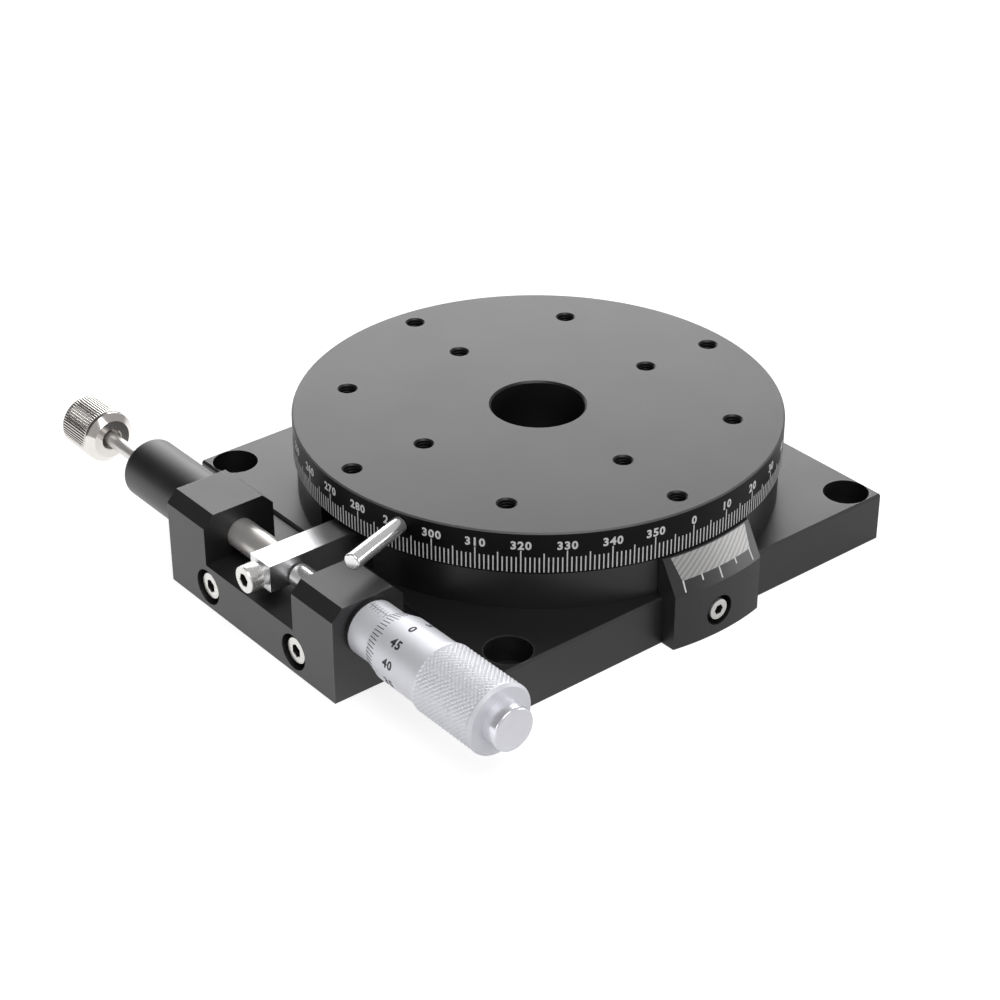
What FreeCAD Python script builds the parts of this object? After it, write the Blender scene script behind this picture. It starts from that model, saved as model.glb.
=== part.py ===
import FreeCAD, Part
import os
import Sketcher

# Manual rotation stage, in millimetres.
# The origin is the middle of the base plate's underside, on the rotation axis, with Z up.
# The micrometer lies along X on the -Y side, and its thimble points to +X.
# The vernier block is on the +X side of the base plate.

PART_FOLDER = "parts"
CORNERS = [("", ""), ("-", ""), ("-", "-"), ("", "-")]

# Sizes that are set by themselves: name, value, meaning.
DRIVING = [
    ("seat_gap", "0.02", "radial play of a piece that is fixed in its seat"),
    ("run_gap", "0.05", "play of a piece that runs or slides"),
    ("travel", "6.5", "stroke of the spindle to each side of the middle"),
    ("touch_gap", "0.12", "play between the arm and the two noses beside it"),

    ("plate_side", "125", "side of the square base plate"),
    ("plate_high", "13", "thickness of the base plate"),
    ("plate_edge", "0.6", "chamfer on the base plate"),
    ("mount_reach", "56", "corner hole from each centre line"),
    ("mount_hole", "3.3", "radius of a corner hole"),
    ("mount_sink", "5.9", "radius of a corner counterbore"),
    ("mount_sink_deep", "7", "depth of a corner counterbore"),

    ("bearing_bore", "30", "inner radius of the ball bearing"),
    ("bearing_outer", "39", "outer radius of the ball bearing"),
    ("bearing_high", "10", "height of the ball bearing"),
    ("race_wall", "3", "radial thickness of each race"),
    ("lip_wide", "2.5", "lip of the base plate under the outer race"),
    ("ball_radius", "2.75", "radius of a ball"),
    ("ball_count", "20", "number of balls"),
    ("cage_wall", "2", "radial thickness of the ball cage"),
    ("cage_high", "8", "height of the ball cage"),
    ("cage_play", "0.1", "play of a ball in its pocket"),

    ("housing_out", "61.7", "outer radius of the bearing housing"),
    ("housing_wall", "5.2", "wall of the bearing housing"),
    ("housing_high", "9.9", "height of the bearing housing"),
    ("housing_floor", "1.5", "floor of the bearing housing"),
    ("window_half", "10.5", "half the width of the arm's window"),

    ("disk_radius", "62.5", "radius of the rotary table"),
    ("disk_high", "11", "thickness of the rotary table's disk"),
    ("disk_gap", "0.6", "gap between the housing and the disk"),
    ("disk_edge", "0.4", "chamfer of the disk's edges"),
    ("centre_bore", "12", "radius of the hole through the table"),
    ("bore_edge", "0.5", "chamfer of the centre bore"),
    ("neck_radius", "28", "radius of the hub's threaded neck"),
    ("nut_step", "0.5", "inner race's edge outside the hub nut"),
    ("notch_radius", "3", "radius of a spanner notch in the hub nut"),
    ("notch_deep", "1.2", "depth of a spanner notch"),
    ("foot_gap", "0.4", "hub above the surface that the stage stands on"),
    ("rest_angle", "-3.8", "azimuth of the table's zero at rest"),
    ("inner_holes", "35", "tapped holes of the table, first distance"),
    ("rim_holes", "6.5", "outer tapped holes of the table from the rim"),
    ("table_hole", "2.15", "radius of a tapped hole of the table"),
    ("table_hole_deep", "9", "depth of a tapped hole of the table"),
    ("table_hole_edge", "0.45", "chamfer of a tapped hole of the table"),
    ("table_skin", "2.2", "disk above the collar's recess"),

    ("ring_out", "55", "outer radius of the tangent ring"),
    ("collar_in", "39", "inner radius of the clamping collar"),
    ("collar_wall", "5", "wall of the clamping collar"),
    ("collar_play", "0.7", "recess inside the clamping collar"),
    ("recess_play", "2.3", "recess outside the clamping collar"),
    ("collar_gap", "0.3", "recess above the clamping collar"),
    ("washer_thick", "0.45", "thickness of the ring washer"),
    ("washer_step", "0.5", "outer race's edge inside the ring washer"),
    ("washer_wide", "11.5", "radial width of the ring washer"),

    ("arm_wide", "8", "width of the tangent arm"),
    ("arm_high", "7.2", "height of the tangent arm and ring"),
    ("arm_past", "7.7", "end of the tangent arm past the micrometer's line"),
    ("tongue_high", "3.6", "height of the arm's tongue"),
    ("tongue_reach", "44.6", "inner end of the tongue from the rotation axis"),
    ("fix_margin", "2.7", "arm fixing screw from the tongue's end and root"),
    ("drive_out", "16", "micrometer's line outside the base plate"),
    ("drive_level", "17.4", "height of the micrometer's line"),
    ("end_washer_thick", "1", "thickness of the arm end washer"),
    ("end_washer_radius", "2.9", "radius of the arm end washer"),

    ("bracket_shift", "-1.5", "middle of the drive bracket along X"),
    ("bracket_long", "69", "length of the drive bracket"),
    ("lug_wide", "16.2", "length of each lug"),
    ("line_front", "10.6", "front of the bracket from the micrometer's line"),
    ("line_back", "9.8", "back of the lugs from the micrometer's line"),
    ("lug_top", "25.4", "height of the lugs"),
    ("lug_edge", "3", "chamfer on top of the lugs"),
    ("shelf_top", "12.1", "height of the bracket between its lugs"),
    ("bracket_screw_reach", "18.1", "bracket screw from the bracket's middle"),
    ("bracket_screw_level", "5.9", "height of the bracket screws and dowels"),
    ("side_screw_level", "6.5", "height of the vernier screw"),
    ("bracket_sink_deep", "4.7", "counterbore of a bracket screw"),
    ("bracket_sink", "4.7", "radius of a bracket screw's counterbore"),
    ("bracket_screw_long", "30", "length of a bracket screw"),
    ("dowel_radius", "2", "radius of a dowel"),
    ("dowel_half", "7", "half the length of a dowel"),

    ("stem_radius", "4.75", "radius of the micrometer's stem"),
    ("stem_inset", "0.6", "stem's end inside the lug"),
    ("flange_radius", "7", "radius of the black ring before the sleeve"),
    ("flange_thick", "0.9", "thickness of the black ring"),
    ("sleeve_radius", "7", "radius of the micrometer's sleeve"),
    ("sleeve_shown", "7.4", "sleeve between the black ring and the thimble"),
    ("sleeve_guide", "5.6", "sleeve at full size past the thimble's reach"),
    ("sleeve_slim", "6", "radius of the sleeve's middle"),
    ("sleeve_thread", "5.5", "radius of the sleeve's threaded tail"),
    ("sleeve_tail", "8", "length of the sleeve's threaded tail"),
    ("sleeve_room", "2.5", "sleeve's tail from the thimble's wall at full stroke"),
    ("backlash_radius", "6.7", "radius of the backlash nut"),
    ("backlash_long", "6", "length of the backlash nut"),
    ("spindle_radius", "3", "radius of the spindle"),
    ("spindle_flat", "0.5", "radius of the flat on the spindle's nose"),
    ("spindle_crown_step", "0.4", "radius of the spindle above its crown's"),
    ("spindle_crown_long", "0.4", "length of the crown"),
    ("spindle_nose_long", "0.9", "length of the whole nose"),
    ("tail_radius", "2.45", "radius of the spindle's tail"),
    ("tail_long", "9", "length of the spindle's tail"),
    ("thimble_play", "0.1", "play between the sleeve and the thimble"),
    ("thimble_lip", "0.2", "thimble's wall at its reading edge"),
    ("thimble_radius", "8.3", "radius of the thimble"),
    ("cone_long", "4", "length of the thimble's graduated cone"),
    ("barrel_long", "12.7", "length of the thimble's plain part"),
    ("grip_step", "2.6", "length of the step before the knurled grip"),
    ("grip_rise", "0.7", "knurled grip above the thimble"),
    ("grip_long", "20.2", "length of the knurled grip"),
    ("thimble_floor", "6.8", "thickness of the thimble's end wall"),
    ("cap_radius", "5.5", "radius of the thimble's cap nut"),
    ("cap_long", "4.6", "length of the thimble's cap nut"),
    ("cap_edge", "0.6", "rounding of the thimble's cap nut"),
    ("clamp_long", "8", "length of the micrometer's set screw"),

    ("rod_radius", "3.9", "radius of the plunger rod"),
    ("rod_flat", "0.5", "radius of the flat on the plunger rod's nose"),
    ("rod_crown_step", "0.6", "radius of the plunger rod above its crown's"),
    ("rod_crown_long", "0.5", "length of that crown"),
    ("rod_nose_long", "1", "length of that whole nose"),
    ("bush_radius", "5.5", "radius of the plunger's bush"),
    ("bush_inset", "3", "plunger's bush behind the lug's inner face"),
    ("tube_radius", "8", "radius of the plunger tube"),
    ("tube_bore", "6.2", "bore of the plunger tube"),
    ("tube_long", "25.4", "length of the plunger tube outside the lug"),
    ("tube_floor", "3", "end wall of the plunger tube"),
    ("tube_round", "1.2", "rounding of the plunger tube's end"),
    ("spigot_radius", "7", "radius of the tube's spigot"),
    ("spigot_long", "3", "length of the tube's spigot"),
    ("head_play", "0.1", "play of the plunger's head in the tube"),
    ("head_room", "0.6", "plunger's head from the lug at full stroke"),
    ("head_long", "2.5", "length of the plunger's head"),
    ("pull_radius", "1.85", "radius of the pull rod"),
    ("pull_play", "0.1", "play of the pull rod in the tube's end"),
    ("pull_grip", "6.8", "pull rod's length inside the plunger"),
    ("spring_mean", "4.4", "mean radius of the plunger spring"),
    ("spring_wire", "0.45", "radius of the spring's wire"),
    ("spring_turns", "5", "turns of the plunger spring"),
    ("knob_radius", "7", "radius of the pull knob"),
    ("knob_room", "18.2", "gap between the tube and the knob"),
    ("knob_bevel", "2", "length of the knob's bevelled ring"),
    ("knob_nose", "5.3", "radius of the knob's near face"),
    ("knob_grip", "11.8", "length of the knob's knurled part"),
    ("knob_edge", "0.6", "chamfer of the knob's far end"),
    ("knob_recess", "2.7", "radius of the recess in the knob"),
    ("knob_recess_deep", "3", "depth of the recess in the knob"),
    ("knob_solid", "5", "knob past the end of the pull rod"),

    ("lock_turn", "-67.8", "azimuth of the lock pin on the table's scale"),
    ("lock_drop", "3.4", "lock pin below the table's top"),
    ("pin_thread", "2", "radius of the lock pin's thread"),
    ("pin_root", "2.1", "radius of the lock pin outside the rim"),
    ("pin_neck", "1.5", "radius of the lock pin's neck"),
    ("pin_tip", "2.15", "radius of the lock pin's outer end"),
    ("pin_round", "0.6", "rounding of the lock pin's outer end"),
    ("pin_long", "20", "lock pin outside the rim"),
    ("pin_neck_in", "1", "lock pin's neck inside the rim"),
    ("pin_neck_out", "0.2", "lock pin's neck outside the rim"),
    ("pad_gap", "0.1", "brake pad from the collar"),
    ("pad_long", "3.95", "length of the brake pad"),
    ("pad_radius", "1.95", "radius of the brake pad"),

    ("vernier_shift", "0.85", "middle of the vernier block along Y"),
    ("vernier_long", "28.5", "length of the vernier block"),
    ("vernier_thick", "5.5", "thickness of the vernier block"),
    ("vernier_bend", "14.8", "height where the vernier block starts to lean"),
    ("vernier_lean", "0.7", "top of the vernier block outside the rim"),
    ("vernier_gap", "0.1", "vernier block below the disk"),
    ("vernier_hook", "2.7", "vernier block over the edge of the plate"),
    ("vernier_back_gap", "0.3", "vernier block outside the bearing housing"),
    ("vernier_screw_shift", "0.3", "vernier screw along Y"),
    ("vernier_sink", "4", "radius of the vernier screw's counterbore"),
    ("vernier_sink_deep", "3.2", "depth of the vernier screw's counterbore"),
    ("vernier_screw_long", "8", "length of the vernier screw"),

    ("cap_shank", "2", "radius of a large screw's shank"),
    ("cap_head", "3.5", "radius of a large screw's head"),
    ("cap_head_high", "4", "height of a large screw's head"),
    ("cap_socket", "3", "hexagon of a large screw, across flats"),
    ("cap_socket_deep", "2", "depth of a large screw's hexagon"),
    ("cap_clear", "0.2", "play of a large screw in its through hole"),
    ("end_screw_long", "10", "length of the arm end screw"),
    ("slim_shank", "1.5", "radius of a small screw's shank"),
    ("slim_head", "2.75", "radius of a small screw's head"),
    ("slim_head_high", "3", "height of a small screw's head"),
    ("slim_socket", "2.5", "hexagon of a small screw, across flats"),
    ("slim_socket_deep", "1.6", "depth of a small screw's hexagon"),
    ("slim_sink", "3.1", "counterbore radius of a small screw"),
    ("slim_sink_deep", "3.3", "counterbore depth of a small screw"),
    ("slim_long", "16", "length of a housing screw"),
    ("fix_shank", "1.25", "radius of an arm fixing screw"),
    ("fix_head", "2.35", "head radius of an arm fixing screw"),
    ("fix_socket", "1.5", "hexagon of an arm fixing screw, across flats"),
    ("fix_socket_deep", "0.9", "depth of an arm fixing screw's hexagon"),
    ("fix_long", "6.7", "length of an arm fixing screw"),
    ("tap_extra", "0.5", "threaded hole past its screw's end"),
]

# Sizes that follow from the others: name, formula, meaning.
DERIVED = [
    ("plate_half", "=plate_side / 2", "half the base plate"),
    ("lip_top", "=plate_high - bearing_high", "underside of the bearing"),
    ("lip_bore", "=bearing_outer - lip_wide", "opening under the bearing"),
    ("race_seat", "=bearing_outer + seat_gap", "seat of the outer race"),
    ("ball_circle", "=(bearing_bore + bearing_outer) / 2", "circle of the balls"),
    ("ball_level", "=plate_high - bearing_high / 2", "height of the balls"),
    ("groove_radius", "=ball_radius + run_gap", "radius of the ball grooves"),
    ("inner_race_out", "=bearing_bore + race_wall", "outside of the inner race"),
    ("outer_race_in", "=bearing_outer - race_wall", "inside of the outer race"),
    ("cage_in", "=ball_circle - cage_wall / 2", "inside of the cage"),
    ("cage_out", "=ball_circle + cage_wall / 2", "outside of the cage"),
    ("cage_base", "=ball_level - cage_high / 2", "underside of the cage"),
    ("cage_top", "=ball_level + cage_high / 2", "top of the cage"),
    ("cage_pocket", "=ball_radius + cage_play", "radius of a ball's pocket"),

    ("housing_in", "=housing_out - housing_wall", "inside of the housing"),
    ("housing_top", "=plate_high + housing_high", "top of the housing"),
    ("floor_top", "=plate_high + housing_floor", "top of the housing's floor"),
    ("housing_circle", "=housing_out - housing_wall / 2", "circle of the housing screws"),
    ("housing_reach", "=housing_circle * cos(45)", "housing screw from each centre line"),
    ("slim_tap", "=slim_shank + seat_gap", "threaded hole of a small screw"),
    ("slim_pass", "=slim_shank + cap_clear", "through hole of a small screw"),
    ("housing_screw_top", "=slim_sink_deep + slim_long", "end of a housing screw"),
    ("housing_tap_deep", "=housing_screw_top + tap_extra - plate_high", "depth of its thread"),

    ("disk_base", "=housing_top + disk_gap", "underside of the disk"),
    ("disk_top", "=disk_base + disk_high", "top of the disk"),
    ("rim_in", "=disk_radius - disk_edge", "inside of the rim's chamfer"),
    ("rim_base", "=disk_base + disk_edge", "top of the rim's lower chamfer"),
    ("rim_top", "=disk_top - disk_edge", "foot of the rim's upper chamfer"),
    ("outer_holes", "=disk_radius - rim_holes", "outer tapped holes from the middle"),
    ("hub_radius", "=bearing_bore - seat_gap", "hub inside the inner race"),
    ("bore_rim", "=centre_bore + bore_edge", "outside of the bore's chamfer"),
    ("bore_rim_foot", "=disk_top - bore_edge", "foot of the bore's chamfer"),
    ("nut_bore", "=neck_radius + seat_gap", "bore of the hub nut"),
    ("nut_radius", "=inner_race_out - nut_step", "radius of the hub nut"),
    ("notch_reach", "=nut_radius + notch_radius - notch_deep", "centre of a spanner notch"),

    ("collar_out", "=collar_in + collar_wall", "outside of the collar"),
    ("recess_in", "=collar_in - collar_play", "inside of the table's recess"),
    ("recess_out", "=collar_out + recess_play", "outside of the table's recess"),
    ("recess_top", "=disk_top - table_skin", "top of the table's recess"),
    ("collar_top", "=recess_top - collar_gap", "top of the collar"),
    ("ring_in", "=inner_race_out + run_gap", "inside of the tangent ring"),
    ("washer_in", "=outer_race_in + washer_step", "inside of the ring washer"),
    ("washer_out", "=washer_in + washer_wide", "outside of the ring washer"),
    ("washer_top", "=floor_top + washer_thick", "top of the ring washer"),
    ("arm_base", "=washer_top + run_gap", "underside of the arm and ring"),
    ("arm_top", "=arm_base + arm_high", "top of the arm and ring"),
    ("arm_middle", "=arm_base + arm_high / 2", "mid height of the arm"),
    ("arm_half", "=arm_wide / 2", "half the arm's width"),
    ("slot_half", "=arm_half + seat_gap", "half the ring's slot"),
    ("tongue_base", "=arm_top - tongue_high", "underside of the tongue"),
    ("drive_reach", "=plate_half + drive_out", "micrometer's line from the rotation axis"),
    ("arm_reach", "=drive_reach + arm_past", "end of the arm from the rotation axis"),
    ("arm_tip", "=0 - arm_reach", "end of the arm along Y"),
    ("arm_root", "=0 - ring_out - seat_gap", "arm's shoulder along Y"),
    ("tongue_tip", "=0 - tongue_reach", "tongue's end along Y"),
    ("slot_tip", "=0 - tongue_reach + seat_gap", "slot's end along Y"),
    ("slot_mouth", "=0 - ring_out - 1", "slot's open side along Y"),
    ("fix_near", "=0 - ring_out + fix_margin", "outer arm fixing screw along Y"),
    ("fix_far", "=0 - tongue_reach - fix_margin", "inner arm fixing screw along Y"),
    ("fix_tap", "=fix_shank + seat_gap", "hole of an arm fixing screw"),
    ("fix_sink", "=fix_head - fix_shank", "countersink of an arm fixing screw"),
    ("fix_sink_foot", "=0 - fix_sink", "foot of that screw's head"),
    ("fix_tip", "=0 - fix_long", "end of that screw"),

    ("drive_line", "=0 - drive_reach", "micrometer's line along Y"),
    ("bracket_front", "=drive_reach + line_front", "front of the bracket from the rotation axis"),
    ("bracket_face", "=0 - bracket_front", "front of the bracket along Y"),
    ("bracket_edge", "=0 - bracket_front + lug_edge", "front chamfer's top along Y"),
    ("lug_back", "=drive_line + line_back", "back of the lugs along Y"),
    ("lug_back_edge", "=lug_back - lug_edge", "rear chamfer's top along Y"),
    ("lug_edge_foot", "=lug_top - lug_edge", "foot of the lugs' chamfers"),
    ("gap_top", "=lug_top + 1", "top of the cut between the lugs"),
    ("lug_left_out", "=bracket_shift - bracket_long / 2", "left lug, outside"),
    ("lug_left_in", "=lug_left_out + lug_wide", "left lug, inside"),
    ("lug_right_out", "=bracket_shift + bracket_long / 2", "right lug, outside"),
    ("lug_right_in", "=lug_right_out - lug_wide", "right lug, inside"),
    ("lug_cut", "=lug_wide + 1", "length of a cut through a lug"),
    ("cap_tap", "=cap_shank + seat_gap", "threaded hole of a large screw"),
    ("cap_pass", "=cap_shank + cap_clear", "through hole of a large screw"),
    ("bracket_pass_deep", "=bracket_front - plate_half + 1", "length of its through hole"),
    ("bracket_seat", "=bracket_face + bracket_sink_deep", "under the bracket screw's head"),
    ("bracket_tap_deep", "=bracket_seat + bracket_screw_long + plate_half + tap_extra", "its thread"),
    ("screw_left", "=bracket_shift - bracket_screw_reach", "left bracket screw along X"),
    ("screw_right", "=bracket_shift + bracket_screw_reach", "right bracket screw along X"),
    ("dowel_left", "=bracket_shift - bracket_screw_reach / 2", "left dowel along X"),
    ("dowel_right", "=bracket_shift + bracket_screw_reach / 2", "right dowel along X"),
    ("dowel_seat", "=dowel_radius + seat_gap", "hole of a dowel"),
    ("dowel_start", "=0 - plate_half - dowel_half", "outer end of a dowel"),
    ("dowel_long", "=dowel_half * 2", "length of a dowel"),
    ("dowel_deep", "=dowel_half + seat_gap", "depth of a dowel's hole"),
    ("end_screw_seat", "=arm_tip - end_washer_thick", "under the arm end screw's head"),
    ("end_washer_bore", "=cap_shank + run_gap", "bore of the arm end washer"),
    ("end_tap_deep", "=end_screw_long - end_washer_thick + tap_extra", "thread in the arm"),

    ("stem_bore", "=stem_radius + seat_gap", "lug's bore round the stem"),
    ("stem_start", "=lug_right_in + stem_inset", "inner end of the stem"),
    ("flange_end", "=lug_right_out + flange_thick", "outer face of the black ring"),
    ("thimble_front", "=flange_end + sleeve_shown", "thimble's reading edge"),
    ("cone_end", "=thimble_front + cone_long", "end of the graduated cone"),
    ("barrel_end", "=cone_end + barrel_long", "end of the thimble's plain part"),
    ("grip_start", "=barrel_end + grip_step", "start of the knurled grip"),
    ("thimble_end", "=grip_start + grip_long", "end of the thimble"),
    ("grip_radius", "=thimble_radius + grip_rise", "radius of the knurled grip"),
    ("grip_edge_start", "=thimble_end - grip_rise", "start of the grip's end chamfer"),
    ("thimble_bore", "=sleeve_radius + thimble_play", "bore of the thimble"),
    ("thimble_nose", "=thimble_bore + thimble_lip", "radius of the reading edge"),
    ("spindle_end", "=thimble_end - thimble_floor", "shoulder of the spindle"),
    ("thimble_wall", "=spindle_end + run_gap", "inner face of the thimble's wall"),
    ("sleeve_full", "=thimble_front + travel + sleeve_guide", "end of the sleeve at full size"),
    ("sleeve_end", "=spindle_end - travel - sleeve_room", "end of the sleeve"),
    ("backlash_start", "=sleeve_end - sleeve_tail", "start of the sleeve's tail"),
    ("backlash_end", "=backlash_start + backlash_long", "end of the backlash nut"),
    ("backlash_bore", "=sleeve_thread + seat_gap", "bore of the backlash nut"),
    ("spindle_bore", "=spindle_radius + run_gap", "sleeve's bore round the spindle"),
    ("spindle_tip", "=arm_half + touch_gap", "nose of the spindle"),
    ("spindle_crown", "=spindle_radius - spindle_crown_step", "radius of the spindle's crown"),
    ("spindle_crown_end", "=spindle_tip + spindle_crown_long", "end of the nose's crown"),
    ("spindle_nose_end", "=spindle_tip + spindle_nose_long", "end of the spindle's nose"),
    ("tail_bore", "=tail_radius + run_gap", "bore round the spindle's tail"),
    ("tail_end", "=spindle_end + tail_long", "end of the spindle's tail"),
    ("cap_bore_end", "=tail_end + run_gap", "end of the cap nut's bore"),
    ("cap_end", "=thimble_end + cap_long", "end of the cap nut"),
    ("clamp_place", "=lug_right_in + lug_wide / 2", "micrometer's set screw along X"),
    ("clamp_top", "=drive_level - stem_bore", "top of the set screw"),

    ("rod_tip", "=0 - arm_half - touch_gap", "nose of the plunger rod"),
    ("rod_crown", "=rod_radius - rod_crown_step", "radius of the plunger rod's crown"),
    ("rod_crown_end", "=rod_tip - rod_crown_long", "end of that crown"),
    ("rod_nose_end", "=rod_tip - rod_nose_long", "end of the plunger rod's nose"),
    ("rod_bore", "=rod_radius + run_gap", "lug and bush round the rod"),
    ("bush_face", "=lug_left_in - bush_inset", "near face of the plunger's bush"),
    ("bush_seat", "=bush_radius + seat_gap", "lug's bore round the bush"),
    ("spigot_end", "=lug_left_out + spigot_long", "inner end of the tube's spigot"),
    ("spigot_seat", "=spigot_radius + seat_gap", "lug's bore round the spigot"),
    ("tube_end", "=lug_left_out - tube_long", "far end of the tube"),
    ("tube_wall", "=tube_end + tube_floor", "inner face of the tube's end"),
    ("head_face", "=lug_left_out - travel - head_room", "near face of the plunger's head"),
    ("head_back", "=head_face - head_long", "far face of the plunger's head"),
    ("head_radius", "=tube_bore - head_play", "radius of the plunger's head"),
    ("pull_seat", "=pull_radius + seat_gap", "seat of the pull rod"),
    ("pull_hole", "=pull_radius + pull_play", "hole in the tube's end"),
    ("pull_start", "=head_back + pull_grip", "near end of the pull rod"),
    ("pull_hole_end", "=pull_start + run_gap", "end of the plunger's hole"),
    ("knob_face", "=tube_end - knob_room", "near face of the knob"),
    ("knob_bevel_end", "=knob_face - knob_bevel", "end of the knob's bevelled ring"),
    ("knob_end", "=knob_bevel_end - knob_grip", "far end of the knob"),
    ("knob_edge_start", "=knob_end + knob_edge", "start of the knob's chamfer"),
    ("knob_rim", "=knob_radius - knob_edge", "radius of the knob's far face"),
    ("knob_recess_face", "=knob_face - knob_recess_deep", "floor of the knob's recess"),
    ("pull_end", "=knob_end + knob_solid", "far end of the pull rod"),
    ("knob_bore_end", "=pull_end - run_gap", "end of the knob's bore"),
    ("spring_start", "=head_back - spring_wire - seat_gap", "first turn of the spring"),
    ("spring_long", "=spring_start - tube_wall - spring_wire - seat_gap", "spring, wire to wire"),
    ("spring_pitch", "=spring_long / spring_turns", "pitch of the spring"),

    ("lock_level", "=disk_top - lock_drop", "height of the lock pin"),
    ("lock_azimuth", "=rest_angle + lock_turn", "azimuth of the lock pin at rest"),
    ("lock_bore", "=pin_thread + run_gap", "hole of the lock pin"),
    ("lock_bore_start", "=collar_out", "inner end of that hole"),
    ("lock_bore_end", "=disk_radius + 1", "outer end of that hole"),
    ("pad_start", "=collar_out + pad_gap", "brake pad's face on the collar"),
    ("pad_end", "=pad_start + pad_long", "brake pad's other face"),
    ("pin_nose", "=pad_end + run_gap", "nose of the lock pin"),
    ("pin_neck_start", "=disk_radius - pin_neck_in", "inner end of the pin's neck"),
    ("pin_neck_end", "=disk_radius + pin_neck_out", "outer end of the pin's neck"),
    ("pin_end", "=disk_radius + pin_long", "outer end of the pin"),

    ("vernier_start", "=vernier_shift - vernier_long / 2", "vernier block, -Y end"),
    ("vernier_stop", "=vernier_shift + vernier_long / 2", "vernier block, +Y end"),
    ("vernier_front", "=plate_half + vernier_thick", "radius of the block's front"),
    ("vernier_crest", "=disk_radius + vernier_lean", "radius of the block's top edge"),
    ("vernier_top", "=disk_base - vernier_gap", "top of the block"),
    ("vernier_outside", "=vernier_front + 5", "outside of the uncut block"),
    ("vernier_far", "=vernier_outside + vernier_long", "outside of the cut that shapes it"),
    ("vernier_over", "=vernier_top + 5", "top of the cut that shapes it"),
    ("vernier_under", "=0 - 1", "foot of the cut that shapes it"),
    ("vernier_inside", "=plate_half - vernier_hook", "inside of the uncut hook"),
    ("vernier_back", "=housing_out + vernier_back_gap", "radius of the hook's back"),
    ("vernier_hook_high", "=vernier_top - plate_high", "height of the hook"),
    ("vernier_seat", "=vernier_front - vernier_sink_deep", "under the vernier screw's head"),
    ("vernier_tap_deep", "=plate_half - vernier_seat + vernier_screw_long + tap_extra", "its thread"),
]

doc = FreeCAD.newDocument("RotationStage")
sheet = doc.addObject("Spreadsheet::Sheet", "Dim")
for row, (name, value, meaning) in enumerate(DRIVING + DERIVED, start=1):
    sheet.set("A%d" % row, meaning)
    sheet.set("B%d" % row, value)
    sheet.setAlias("B%d" % row, name)
doc.recompute()

nodes = []


def size(name):
    """Value of a size of the sheet, a leading minus turns its sign."""
    if name == "0":
        return 0.0
    if name.startswith("-"):
        return -float(sheet.get(name[1:]))
    return float(sheet.get(name))


def formula(name):
    """Expression that stands for a size of the sheet, a number or a formula stays as it is."""
    if "Dim." in name or name.lstrip("-").isdigit():
        return name
    if name.startswith("-"):
        return "-Dim." + name[1:]
    return "Dim." + name


def place(thing, x="0", y="0", z="0", axis=(0, 0, 1), angle="0"):
    """Bind the place of a piece to the sheet."""
    spot = "vector(%s; %s; %s)" % (formula(x), formula(y), formula(z))
    turn = "rotation(vector(%d; %d; %d); %s)" % (axis + (formula(angle),))
    thing.setExpression("Placement", "placement(%s; %s)" % (spot, turn))


def keep(thing, label):
    """Name a finished piece and list it among the nodes."""
    thing.Label = label
    nodes.append(thing)
    return thing


def origin_part(body, role):
    """Plane or axis of a body's own origin."""
    return [part for part in body.Origin.OriginFeatures if part.Role == role][0]


def new_sketch(body, plane, offset=None):
    """Empty sketch on a plane of the body's origin, or at a distance in front of it."""
    sketch = body.newObject("Sketcher::SketchObject", "Sketch")
    sketch.AttachmentSupport = [(origin_part(body, plane), "")]
    sketch.MapMode = "FlatFace"
    if offset is not None:
        sketch.setExpression("AttachmentOffset.Base.z", formula(offset))
    return sketch


def pin_point(sketch, geometry, point, spot):
    """Hold a point of a sketch at two sizes of the sheet."""
    for kind, name, axis in (("DistanceX", spot[0], -2), ("DistanceY", spot[1], -1)):
        if name == "0":
            sketch.addConstraint(Sketcher.Constraint("PointOnObject", geometry, point, axis))
            continue
        held = sketch.addConstraint(Sketcher.Constraint(kind, -1, 1, geometry, point, size(name)))
        sketch.setExpression("Constraints[%d]" % held, formula(name))


def outline(body, plane, spots, offset=None):
    """Closed sketch of straight lines through the given spots."""
    sketch = new_sketch(body, plane, offset)
    corners = [FreeCAD.Vector(size(across), size(up), 0) for across, up in spots]
    count = len(corners)
    for index in range(count):
        line = Part.LineSegment(corners[index], corners[(index + 1) % count])
        sketch.addGeometry(line, False)
    for index in range(count):
        joined = Sketcher.Constraint("Coincident", index, 2, (index + 1) % count, 1)
        sketch.addConstraint(joined)
    for index, spot in enumerate(spots):
        pin_point(sketch, index, 1, spot)
    return sketch


def circles(body, plane, spots, radius, offset=None):
    """Sketch of equal circles at the given spots."""
    sketch = new_sketch(body, plane, offset)
    for index, spot in enumerate(spots):
        centre = FreeCAD.Vector(size(spot[0]), size(spot[1]), 0)
        sketch.addGeometry(Part.Circle(centre, FreeCAD.Vector(0, 0, 1), size(radius)), False)
        pin_point(sketch, index, 3, spot)
        held = sketch.addConstraint(Sketcher.Constraint("Radius", index, size(radius)))
        sketch.setExpression("Constraints[%d]" % held, formula(radius))
    return sketch


def check_cut(body, before):
    """Stop where a cut took nothing away."""
    doc.recompute()
    if not body.Shape.Volume < before - 0.001:
        raise RuntimeError("a cut in %s takes nothing away" % body.Label)


def cut(body, sketch, deep=None, outward=False):
    """Pocket against the sketch's normal, or along it, through all without a depth."""
    doc.recompute()
    before = body.Shape.Volume
    pocket = body.newObject("PartDesign::Pocket", "Pocket")
    pocket.Profile = sketch
    pocket.Reversed = outward
    if deep is None:
        pocket.Type = "ThroughAll"
    else:
        pocket.setExpression("Length", formula(deep))
    check_cut(body, before)
    return pocket


def groove(body, sketch):
    """Turn a sketch round the upright axis and take it away."""
    doc.recompute()
    before = body.Shape.Volume
    ring = body.newObject("PartDesign::Groove", "Groove")
    ring.Profile = sketch
    ring.ReferenceAxis = (sketch, ["V_Axis"])
    ring.Angle = 360
    check_cut(body, before)
    return ring


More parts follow.
